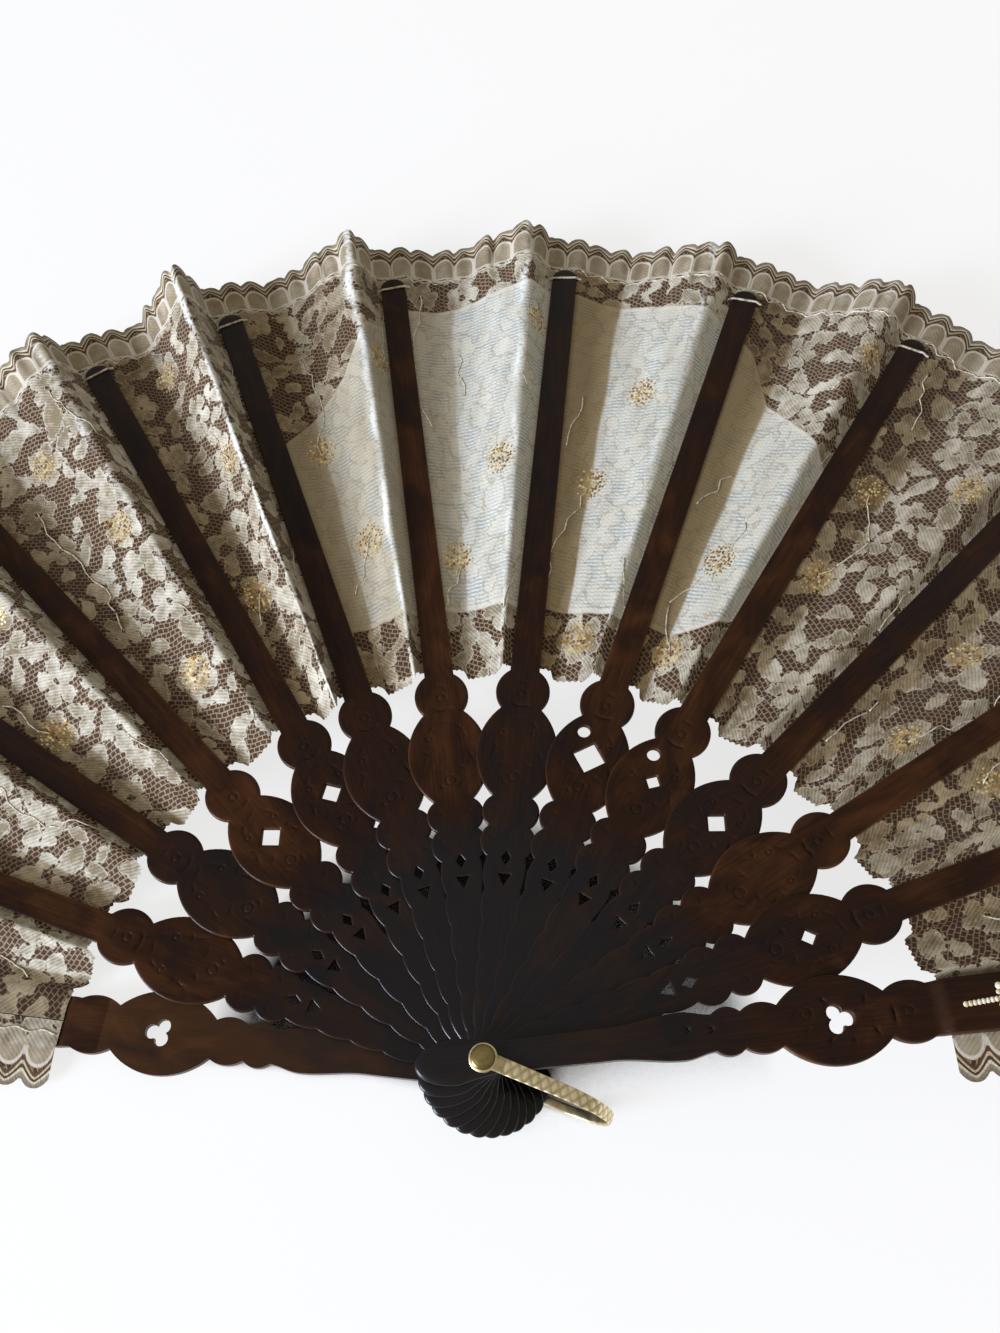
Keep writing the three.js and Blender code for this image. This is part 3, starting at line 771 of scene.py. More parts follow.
@dataclass(frozen=True)
class Cut:
    """One stroke of the carver's gouge: a V-shaped groove that runs out at both ends."""

    start: complex
    end: complex
    width: float = 0.42
    depth: float = 0.2

    def at(self, points: np.ndarray) -> np.ndarray:
        """How deep the groove is at each point.

        Args:
            points: the points.

        Returns:
            A depth for each.
        """
        span = self.end - self.start
        rel = points - self.start
        share = np.clip((rel / span).real, 0, 1)
        run_out = 1 - 0.6 * np.abs(2 * share - 1) ** 3
        return self.depth * run_out * np.clip(1 - np.abs(rel - share * span) / self.width, 0, 1)

    def seeds(self) -> np.ndarray:
        """The points that the mesh needs to show the groove.

        Returns:
            Points along its bottom and its two edges.
        """
        span = self.end - self.start
        line = self.start + span * np.linspace(0, 1, max(2, round(abs(span) / 0.3)))
        aside = 1j * span / abs(span) * self.width
        return np.concatenate([line, line + aside, line - aside])


@dataclass(frozen=True)
class Ring:
    """A ring pressed into the wood with a round punch."""

    centre: complex
    radius: float = 0.9
    width: float = 0.3
    depth: float = 0.16

    def at(self, points: np.ndarray) -> np.ndarray:
        """How deep the ring is at each point."""
        gap = np.abs(np.abs(points - self.centre) - self.radius)
        return self.depth * np.clip(1 - gap / self.width, 0, 1)

    def seeds(self) -> np.ndarray:
        """The points that the mesh needs to show the ring."""
        radii = self.radius + self.width * np.array([-1, 0, 1])
        return np.concatenate([round_hole(self.centre, radius, 18) for radius in radii])


class Board:
    """A thin carved board with piercings, along X, across Y and thick in Z."""

    grid = 0.5
    slip_step = 3.0
    slip_rows = np.array([-0.9, -0.7, -0.52, -0.36, -0.2, 0, 0.2, 0.36, 0.52, 0.7, 0.9])
    rims = (0.14, 0.32)
    close_margin = 0.1
    plain_margin = 0.42
    marks_apart = 0.22

    def __init__(self, loops: Sequence[np.ndarray], cuts: Sequence[Cut | Ring], slip_from: float) -> None:
        """Takes the outline and the piercings, the grooves, and where the plain narrow part begins."""
        self.loops = [loops[0], *[loop[::-1] for loop in loops[1:]]]
        self.cuts, self.slip_from = cuts, slip_from

    def seeds(self) -> np.ndarray:
        """Lays out the points of the face between its edges.

        Returns:
            The points: dense along edges and grooves, even elsewhere, sparse on the slip.
        """
        y = np.arange(-9, 9.1, self.grid)[:, None]
        x = np.arange(-13, self.slip_from + 2, self.grid) + self.grid / 2 * (np.round(y / self.grid) % 2)
        outline = self.loops[0]
        half = np.abs(outline[outline.real > self.slip_from + 8].imag).max()
        along = np.arange(self.slip_from, outline.real.max(), self.slip_step)
        slip = along + 1j * half * self.slip_rows[:, None]
        marks = np.concatenate([cut.seeds() for cut in self.cuts])
        close = []
        for loop in self.loops:
            step = np.roll(loop, -1) - np.roll(loop, 1)
            close += [loop + offset * 1j * step / np.abs(step) for offset in self.rims]
        plain = self.kept(np.concatenate([(x + 1j * y).ravel(), slip.ravel()]), self.plain_margin)
        apart = np.array([np.abs(marks - point).min() for point in plain])
        fine = self.kept(np.concatenate([*close, marks]), self.close_margin)
        return np.concatenate([fine, plain[apart > self.marks_apart]])

    def on_wood(self, points: np.ndarray) -> np.ndarray:
        """Tells which points lie within the outline and in no piercing."""
        pierced = np.any([inside(points, hole) for hole in self.loops[1:]], axis=0)
        return inside(points, self.loops[0]) & ~pierced

    def kept(self, points: np.ndarray, margin: float) -> np.ndarray:
        """Keeps the points on the board that lie farther than a margin from every edge."""
        points = points[self.on_wood(points)]
        return points[edge_distance(points, self.loops) > margin]

    def stretches(self) -> np.ndarray:
        """The numbers of the two points of each stretch of the loops, in rows."""
        ends = np.cumsum([len(loop) for loop in self.loops])
        return np.vstack([np.stack((k, np.roll(k, -1)), 1) for k in np.split(range(ends[-1]), ends[:-1])])

    def face(self, seeds: np.ndarray) -> tuple[np.ndarray, list[list[int]]]:
        """Joins the loops and seeds into triangles.

        Args:
            seeds: the points between the edges.

        Returns:
            The points, with those of the loops first, and the triangles.
        """
        flat = [Vector((p.real, p.imag)) for p in np.concatenate([*self.loops, seeds])]
        made, _, faces, *_ = delaunay_2d_cdt(flat, self.stretches().tolist(), [], 1, 1e-7)
        points = np.array([complex(*point) for point in made])
        middles = np.array([points[list(face)].mean() for face in faces])
        return points, [list(face) for face, is_wood in zip(faces, self.on_wood(middles)) if is_wood]

    def solid(
        self, top: Callable[[np.ndarray, np.ndarray], np.ndarray], recess: float
    ) -> tuple[np.ndarray, list[list[int]], np.ndarray]:
        """Closes the board into a solid.

        Args:
            top: gives the upper face's height from the points and their distance to an edge.
            recess: how far the underside is cut away where the leaf is glued.

        Returns:
            The points in 3-D, the faces, and each point's distance to an edge.
        """
        upper, faces = self.face(self.seeds())
        where = (np.array([86.0, 87.0]) + 1j * np.array([[-2.4], [0], [2.4]])).ravel()
        lower, lower_faces = self.face(self.kept(where, 0.3))
        gap = edge_distance(upper, self.loops)
        height = top(upper, gap) - sum(cut.at(upper) for cut in self.cuts)
        flat = np.concatenate([upper, lower])
        level = np.concatenate([height, recess * np.clip(lower.real - 86, 0, 1)])
        count = len(upper)
        here, there = self.stretches().T
        faces += [[count + k for k in reversed(face)] for face in lower_faces]
        faces += np.column_stack((here, count + here, count + there, there)).tolist()
        points = np.column_stack((flat.real, flat.imag, level))
        return points, faces, np.concatenate([gap, edge_distance(lower, self.loops)])


def mirrored(*cuts: tuple) -> tuple[Cut, ...]:
    """Makes each cut twice, once on each side of the middle line."""
    pairs = [(Cut(*cut), Cut(cut[0].conjugate(), cut[1].conjugate(), *cut[2:])) for cut in cuts]
    return tuple(cut for pair in pairs for cut in pair)


@dataclass(frozen=True)
class Sticks:
    """The twelve pierced ribs and the two guards, all on the rivet.

    An edge is made of lobes, each given by its peak and the notch after it.
    """

    wood: bpy.types.Material
    head_reach: float = 12.9
    head_half: float = 4.3
    head_widest: float = 5.0
    neck_start: complex = 7 + 2.8j
    hole_radius: float = 1.2
    rib_neck_end: complex = 42.1 + 4j
    scallops: int = 5
    scallop_swell: float = 0.55
    rib_lobes: tuple[tuple[complex, complex], ...] = (
        (45.5 + 5.8j, 48.9 + 4.3j),
        (52.2 + 6.1j, 55.6 + 4.2j),
        (66.1 + 8.8j, 76.7 + 4.4j),
        (81.4 + 6.0j, 86.0 + 3.3j),
    )
    rib_reach: float = 210.0
    slip_half: float = 3.3
    slip_from: float = 88.0
    slip_round: tuple[float, float] = (0.5, 0.12)
    guard_neck: tuple[complex, ...] = (24 + 3j, 37.5 + 4.4j, 43.4 + 3.4j)
    guard_lobes: tuple[tuple[complex, complex], ...] = (
        (46.2 + 4.5j, 48.9 + 3.4j),
        (52.2 + 4.7j, 55.9 + 3.8j),
        (65.8 + 8.3j, 76.4 + 4.3j),
        (80.4 + 5.8j, 84.6 + 4.9j),
    )
    guard_reach: float = 213.0
    blade_start: complex = 88 + 5.1j
    blade_widest: complex = 182 + 6.7j
    blade_tip: float = 16.0
    blade_from: float = 90.0
    blade_round: tuple[float, float] = (1.5, 0.75)
    square: tuple[complex, ...] = (40.3, 41.9 - 1j, 43.5, 41.9 + 1j)
    triangle: tuple[complex, ...] = (35.9, 38.5 - 1.4j, 38.5 + 1.4j)
    trefoil: tuple[float, float] = (67.1, 1.45)
    eye: tuple[complex, float] = (73 + 2.9j, 1.4)
    diamond_centre: float = 67.4
    diamonds: tuple[float, ...] = (0, 0, 2.6, 2.4, 0, 0, 0, 3.6, 1.7, 2.4, 0, 1.6)
    eyed_ribs: tuple[int, ...] = (8, 9)
    cut_margin: float = 0.3
    rib_cuts: tuple[Cut | Ring, ...] = (
        Ring(80.4),
        Ring(60.3, 1.1),
        Ring(70.6 + 3.6j, 0.6),
        Ring(70.6 - 3.6j, 0.6),
        *mirrored(
            (77.6 + 1.9j, 77.2 + 0j, 0.55, 0.36),
            (73.6 + 2.6j, 71.8 + 3.9j),
            (64.0 + 5.6j, 66.6 + 4.6j),
            (67.6 + 5.4j, 66.9 + 3.9j),
            (62.6 + 3.6j, 63.3 + 2.0j),
            (58.4 + 1.7j, 59.6 + 2.6j),
            (52.6 + 2.6j, 53.2 + 3.7j),
            (46.2 + 2.9j, 46.7 + 4.0j),
        ),
        Cut(74.6 - 1.2j, 73.9 + 1.4j),
        Cut(83.2 - 1.2j, 83.4 + 1.2j),
    )
    guard_cuts: tuple[Cut | Ring, ...] = (
        Ring(80.3),
        Ring(61.2 + 1.6j, 1.0),
        Cut(77.5 - 1.8j, 77.5 + 1.4j, 0.6, 0.5),
        *mirrored((64.4 + 4.3j, 65.2 + 3.1j, 0.55, 0.4)),
        Cut(73.4 - 2.0j, 74.0 - 3.6j, 0.55, 0.4),
        Cut(72.3 + 2.4j, 72.9 + 3.8j, 0.55, 0.4),
        Cut(68.9 - 4.6j, 69.3 - 3.6j, 0.5, 0.4),
        Cut(60.4 - 2.2j, 61.4 - 0.8j),
        Cut(58.6 + 1.4j, 60.2 + 2.4j, 0.5, 0.3),
        Cut(37.9 + 0.2j, 39.1 + 1.0j, 0.45, 0.35),
        Cut(37.9 + 1.8j, 39.1 + 1.0j, 0.45, 0.35),
        Cut(42.4 - 0.2j, 43.6 + 0.6j, 0.45, 0.35),
        Cut(42.4 + 1.4j, 43.6 + 0.6j, 0.45, 0.35),
    )

    def head(self) -> list[complex]:
        """Draws the rounded head and the throat after it.

        Returns:
            The edge up to the start of the neck.
        """
        length = self.head_reach - self.head_widest
        nose = oval(-self.head_widest, length, self.head_half, np.linspace(np.pi, np.pi / 2, 14))
        throat = complex((self.neck_start.real - self.head_widest) / 2, self.neck_start.imag + 0.35)
        return [*nose, *circle_arc(nose[-1], throat, self.neck_start, 10)]

    def rib_outline(self) -> np.ndarray:
        """Draws a rib's outline.

        Returns:
            The loop.
        """
        edge = self.head()
        step = (self.rib_neck_end - edge[-1]) / self.scallops
        for _ in range(self.scallops):
            here = edge[-1]
            edge += circle_arc(here, here + step * 0.55 + 1j * self.scallop_swell, here + step, 8)
        for peak, notch in self.rib_lobes:
            edge += circle_arc(edge[-1], peak, notch, 18)
        turns = np.linspace(np.pi / 2, 0, 9)
        edge += oval(self.rib_reach - self.slip_half, self.slip_half, self.slip_half, turns)
        return closed_loop(edge, self.slip_from)

    def guard_outline(self) -> np.ndarray:
        """Draws a guard's outline.

        Returns:
            The loop.
        """
        edge = self.head()
        share = np.linspace(0, 1, 14)[1:]
        for there in self.guard_neck:
            span = there - edge[-1]
            edge += list(edge[-1] + span.real * share + 1j * span.imag * smooth(share, 0, 1))
        for peak, notch in self.guard_lobes:
            edge += circle_arc(edge[-1], peak, notch, 18)
        edge += [self.blade_start, self.blade_widest]
        turns = np.linspace(np.pi / 2, 0, 15)[1:]
        edge += oval(self.guard_reach - self.blade_tip, self.blade_tip, self.blade_widest.imag, turns)
        return closed_loop(edge, self.blade_from)

    def piercings(self, rib: int) -> list[np.ndarray]:
        """Draws the piercings of one rib.

        Args:
            rib: its number.

        Returns:
            A loop for each.
        """
        holes = [round_hole(0, self.hole_radius), polygon_hole(self.square), polygon_hole(self.triangle)]
        size = self.diamonds[rib - 1]
        if size:
            holes.append(polygon_hole(self.diamond_centre + size * np.array([-1, -1j, 1, 1j])))
        if rib in self.eyed_ribs:
            holes.append(round_hole(*self.eye))
        return holes

    def rounding(self, along: np.ndarray, gap: np.ndarray, outer: tuple[float, float]) -> np.ndarray:
        """How far the upper face falls near its edges: most on the head, least on the neck.

        Args:
            along: how far along the stick each point lies.
            gap: its distance to an edge.
            outer: how far in the outer part's rounding reaches, and how far down.

        Returns:
            The fall at each point.
        """
        at = np.array([-5, 3, 12, 40, 60, 84, 90])
        reach = np.interp(along, at, [1.9, 0.9, 0.3, 0.3, 0.55, 0.7, outer[0]])
        drop = np.interp(along, at, [0.75, 0.4, 0.14, 0.16, 0.32, 0.36, outer[1]])
        return drop * (1 - np.sqrt(1 - 0.98 * np.clip(1 - gap / reach, 0, 1) ** 2))

    def rib_top(self, flat: np.ndarray, gap: np.ndarray) -> np.ndarray:
        """Shapes a rib's upper face, with a slight hollow and fine flutes down the slip.

        Args:
            flat: the points.
            gap: the distance of each to an edge.

        Returns:
            The heights.
        """
        on_slip = smooth(flat.real, 86, 92)
        facet = 0.16 * on_slip * np.clip((1.9 - gap) / 1.9, 0, 1)
        fade = on_slip * (1 - smooth(flat.real, 104, 140))
        flutes = 0.14 * fade * (0.5 - 0.5 * np.cos(flat.imag / self.slip_half * np.pi * 4))
        return RIB_THICKNESS - self.rounding(flat.real, gap, self.slip_round) - facet - flutes

    def guard_top(self, flat: np.ndarray, gap: np.ndarray) -> np.ndarray:
        """Shapes a guard's outer face: a flat gorge, a slope, and a blade with a soft crown.

        Args:
            flat: the points.
            gap: the distance of each to an edge.

        Returns:
            The heights.
        """
        blade = smooth(flat.real, 84.6, 88)
        crown = 0.16 * blade * (flat.imag / self.blade_widest.imag) ** 2
        height = GUARD_THICKNESS + BLADE_STEP * blade - crown
        return height - self.rounding(flat.real, gap, self.blade_round)

    def clear(self, groove: np.ndarray, holes: Sequence[np.ndarray]) -> bool:
        """Tells whether the points of a groove run clear of every piercing."""
        pierced = np.any([inside(groove, hole) for hole in holes])
        return not pierced and edge_distance(groove, holes).min() > self.cut_margin

    def carried(self, points: np.ndarray, gap: np.ndarray, stick: int) -> dict[str, np.ndarray]:
        """What a stick's mesh carries for its finish: own millimetres, warmth and edges.

        Args:
            points: the stick's points in its own frame.
            gap: the distance of each to an edge.
            stick: the stick's number.

        Returns:
            The values, by attribute name.
        """
        outer = 0.03 * abs(stick - 6.5)
        own = 0.12 * math.sin(stick * 2.4)
        at = [0, 28, 44, 58, 84, 92, 130, 210]
        shares = [0.0, outer, outer + 0.08, 0.44 + own, 0.46 + own, 0.56 + own, 0.46 + own, 0.3 + own]
        warmth = np.interp(points[:, 0], at, shares)
        return {"stick_mm": points + [0, 37.0 * stick, 0], "warmth": warmth, "edge_mm": gap}

    def placed(self, points: np.ndarray, stick: int) -> np.ndarray:
        """Turns and lifts a stick from its own frame to its place on the rivet.

        Args:
            points: its points.
            stick: its number; the back guard, 0, has its outer face down.

        Returns:
            The points in place.
        """
        side = -1 if stick == 0 else 1
        lift = {0: BLADE_STEP + GUARD_THICKNESS, FRONT_GUARD: FRONT_GUARD_BASE}.get(stick, rib_base(stick))
        return turned(points[:, 0], side * points[:, 1], side * points[:, 2] + lift, stick_angle(stick))

    def build_stick(self, stick: int) -> None:
        """Carves one stick.

        Args:
            stick: its number.
        """
        if stick in GUARDS:
            holes = [round_hole(0, self.hole_radius), trefoil_hole(*self.trefoil)]
            outline, cuts, slip_from = self.guard_outline(), self.guard_cuts, self.blade_from
            top, recess = self.guard_top, BLADE_RECESS
        else:
            holes = self.piercings(stick)
            outline, cuts, slip_from = self.rib_outline(), self.rib_cuts, self.slip_from
            top, recess = self.rib_top, RIB_THICKNESS - SLIP_THICKNESS
        cuts = [cut for cut in cuts if self.clear(cut.seeds(), holes)]
        board = Board([outline, *holes], cuts, slip_from)
        points, faces, gap = board.solid(top, recess)
        body = stick_body(stick)
        carried = self.carried(points, gap, stick)
        piece = make_piece(f"{body}_carved", self.placed(points, stick), faces, self.wood, carried)
        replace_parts(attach(piece, body), body)

    def build(self) -> None:
        """Carves every stick."""
        for stick in range(FRONT_GUARD + 1):
            self.build_stick(stick)


# On a piece of lace spread flat, a place is a complex number: real across it, imaginary out


@dataclass(frozen=True)
class Blossom:
    """A flower of round petals about a small open eye."""

    centre: complex
    radius: float
    turn: float
    petals: int = 5

    @property
    def room(self) -> float:
        """How far from its centre nothing else may lie."""
        return self.radius

    @property
    def reach(self) -> float:
        """How far from its centre it is looked for."""
        return self.radius + 1

    def at(self, place: np.ndarray) -> np.ndarray:
        """How far inside the flower's cloth each place is.

        Args:
            place: the places.

        Returns:
            A distance for each, in millimetres.
        """
        rho = np.abs(place - self.centre)
        phi = np.angle(place - self.centre) - self.turn
        spread = np.abs(np.cos(phi * self.petals / 2))
        petal = self.radius * (0.66 + 0.34 * spread**0.7) - rho
        slit = np.where(rho > 0.5 * self.radius, rho * (0.9 * spread - 0.14) - 0.3, 9)
        return np.minimum.reduce([petal, rho - 0.17 * self.radius, slit])


@dataclass(frozen=True)
class LaceLeaf:
    """A curved, pointed leaf of close cloth."""

    centre: complex
    length: float
    width: float
    turn: float
    bend: float

    @property
    def room(self) -> float:
        """How far from its centre nothing else may lie."""
        return 0.36 * self.length

    @property
    def reach(self) -> float:
        """How far from its centre it is looked for."""
        return 0.6 * self.length + 1

    def at(self, place: np.ndarray) -> np.ndarray:
        """How far inside the leaf's cloth each place is.

        Args:
            place: the places.

        Returns:
            A distance for each, in millimetres.
        """
        own = (place - self.centre) * np.exp(-1j * self.turn)
        share = np.clip(2 * own.real / self.length, -1, 1)
        half = 0.5 * self.width * (1 - share**2) ** 0.75 * (1 + 0.35 * share)
        aside = np.abs(own.imag - self.bend * (1 - share**2))
        return np.minimum(half - aside, self.length / 2 - np.abs(own.real))


class Pattern:
    """The lace's motifs over one flat piece of it."""

    outside = -4.0
    blossom_tries = 80
    blossoms_apart = 13.5
    leaf_tries = 1500
    longest_cord = 19.0
    gilt_radius = 4.7
    gilt_most = 1.4

    def __init__(
        self,
        seed: int,
        half: Callable[[float], float],
        low: float,
        high: float,
        sprigs: Sequence[tuple[float, float]],
    ) -> None:
        """Lays out blossoms, and leaves in between.

        Args:
            seed: a number of the piece's own, so that no two pieces are alike.
            half: gives the piece's half width at a distance from the rivet.
            low: where the pattern begins.
            high: where the border begins.
            sprigs: the share across and the place of each gold sprig.
        """
        self.random = np.random.default_rng(seed)
        self.half, self.low, self.high = half, low, high
        self.sprigs = [complex((2 * share - 1) * half(y), y) for share, y in sprigs]
        self.blossoms = self.flowers()
        self.motifs = [*self.blossoms, *self.foliage()]

    def flowers(self) -> list[Blossom]:
        """Puts a blossom on each sprig and more where there is room.

        Returns:
            The blossoms, from the rivet outwards.
        """
        draw = self.random.uniform
        laid: list[Blossom] = []
        for sprig in self.sprigs:
            aside = complex(draw(-1.5, 1.5), draw(-1.5, 1.5))
            laid.append(Blossom(sprig + aside, draw(5.6, 7.0), draw(0, 6.28)))
        for _ in range(self.blossom_tries):
            y = draw(self.low + 3, self.high - 3)
            place = complex(draw(-self.half(y), self.half(y)), y)
            if all(abs(place - other.centre) > self.blossoms_apart for other in laid):
                laid.append(Blossom(place, draw(4.6, 6.4), draw(0, 6.28), self.random.integers(5, 7)))
        return sorted(laid, key=lambda blossom: blossom.centre.imag)

    def foliage(self) -> list[LaceLeaf]:
        """Fills the room between the blossoms with leaves that lean away from the nearest motif.

        Returns:
            The leaves.
        """
        draw = self.random.uniform
        leaves: list[LaceLeaf] = []
        centres = [blossom.centre for blossom in self.blossoms]
        rooms = [blossom.room for blossom in self.blossoms]
        for _ in range(self.leaf_tries):
            y = draw(self.low - 2, self.high + 2)
            reach = self.half(y) + 2
            place, length = complex(draw(-reach, reach), y), draw(5.0, 12.0)
            gap = np.abs(place - np.array(centres)) - rooms
            if gap.min() < 0.3 * length:
                continue
            turn = np.angle(place - centres[gap.argmin()]) + self.random.normal(0, 0.7)
            leaf = LaceLeaf(place, length, length * draw(0.4, 0.6), turn, draw(-1.6, 1.6))
            leaves.append(leaf)
            centres.append(leaf.centre)
            rooms.append(leaf.room)
        return leaves

    def cloth(self, place: np.ndarray) -> np.ndarray:
        """How far inside any motif each place is.

        Args:
            place: the places, in rows and columns.

        Returns:
            A distance for each, in millimetres.
        """
        best = np.full(place.shape, self.outside)
        for motif in self.motifs:
            aside = place - motif.centre
            near = np.maximum(np.abs(aside.real), np.abs(aside.imag)) < motif.reach
            best[near] = np.maximum(best[near], motif.at(place[near]))
        return best

    def gilt(self, place: np.ndarray) -> np.ndarray:
        """How far inside a gold sprig each place is, in millimetres."""
        asides = [np.hypot(1.1 * (place - sprig).real, (place - sprig).imag) for sprig in self.sprigs]
        return np.clip(self.gilt_radius - np.minimum.reduce(asides), self.outside, self.gilt_most)

    def cords(self) -> list[np.ndarray]:
        """Draws the raised cords of the vine, each from a blossom to the next one out.

        Returns:
            The points of each cord.
        """
        lines = []
        centres = [blossom.centre for blossom in self.blossoms]
        for here in centres:
            ways = [there - here for there in centres]
            onward = [way for way in ways if way.imag > 1.2 * abs(way.real) + 2]
            way = min(onward, key=abs, default=math.inf)
            if abs(way) > self.longest_cord:
                continue
            bends = max(3, round(abs(way) / 3.2))
            sway = np.concatenate(([0], self.random.uniform(-1.3, 1.3, bends - 1), [0]))
            share = np.linspace(0, 1, max(8, round(abs(way) / 0.6)))
            aside = np.interp(share, np.linspace(0, 1, bends + 1), sway)
            lines.append(here + way * share + 1j * way / abs(way) * aside)
        return lines


def held_runs(line: np.ndarray, held: np.ndarray) -> list[np.ndarray]:
    """Cuts a line where it isn't held.

    Args:
        line: its points.
        held: whether each is held.

    Returns:
        The held stretches of three points or more.
    """
    breaks = np.flatnonzero(np.diff(held.astype(int))) + 1
    runs = zip(np.split(line, breaks), np.split(held, breaks))
    return [run for run, kept in runs if kept[0] and len(run) > 2]


def make_cloth(
    name: str, points: np.ndarray, material: bpy.types.Material, carried: dict[str, np.ndarray]
) -> bpy.types.Object:
    """Makes a piece of cloth from points in rows and columns."""
    return make_piece(name, points, cells(numbered(*points.shape[:2])), material, carried, SOFT)


def make_cords(
    name: str, lines: Iterable[np.ndarray], radius: float, thread: bpy.types.Material
) -> bpy.types.Object:
    """Makes round cords along lines, all in one piece.

    Args:
        name: the object's name.
        lines: the points of each cord, in 3-D.
        radius: the cords' radius.
        thread: the finish.

    Returns:
        The object.
    """
    points, faces, first = [], [], 0
    turns = math.tau * np.arange(5)[:, None] / 5
    for line in [line for line in lines if len(line) > 2]:
        along = unit(np.gradient(line, axis=0))
        side = unit(np.cross(along, (0.0, 0.0, 1.0)))
        up = np.cross(side, along)
        skin = line[:, None] + radius * (np.cos(turns) * side[:, None] + np.sin(turns) * up[:, None])
        index = first + numbered(len(line), 5, around=True)[:, ::-1]
        faces += [*cells(index), index[0, :-1].tolist(), index[-1, :0:-1].tolist()]
        points.append(skin.reshape(-1, 3))
        first += 5 * len(line)
    return make_piece(name, np.vstack(points), faces, thread, crease=SOFT)


@dataclass(frozen=True)
class Pleat:
    """One pleat's surface in rows outwards and columns across, also spread flat."""

    side_margin = 2.4
    cord_lift = 0.05

    gap: int
    points: np.ndarray
    place: np.ndarray

    @property
    def radii(self) -> np.ndarray:
        """How far out each row lies."""
        return self.place.imag.mean(1)

    @property
    def halves(self) -> np.ndarray:
        """The half width of each row."""
        return self.place.real[:, -1]

    def half(self, y: float) -> float:
        """The pleat's half width at a distance from the rivet."""
        return np.interp(y, self.radii, self.halves)

    def carry(self, line: np.ndarray) -> np.ndarray:
        """Carries a flat line on to the pleated surface.

        Args:
            line: its points.

        Returns:
            The points in 3-D, without those that fall off the surface.
        """
        found = []
        radii, across = self.radii, np.arange(self.place.shape[1])
        for x, y in zip(line.real, line.imag):
            row = np.interp(y, radii, np.arange(len(radii)))
            low = min(int(row), len(radii) - 2)
            if not radii[0] + 0.4 < y < radii[-1] - 0.2 or abs(x) > self.halves[low] - self.side_margin:
                continue
            column = np.interp(x, self.place.real[low], across)
            k = min(int(column), len(across) - 2)
            (a, b), (c, d) = self.points[low : low + 2, k : k + 2]
            s, t = column - k, row - low
            normal = unit(np.cross(a - b, c - a))
            level = (a * (1 - s) + b * s) * (1 - t) + (c * (1 - s) + d * s) * t
            found.append(level + normal * math.copysign(self.cord_lift, normal[2]))
        return np.array(found).reshape(-1, 3)


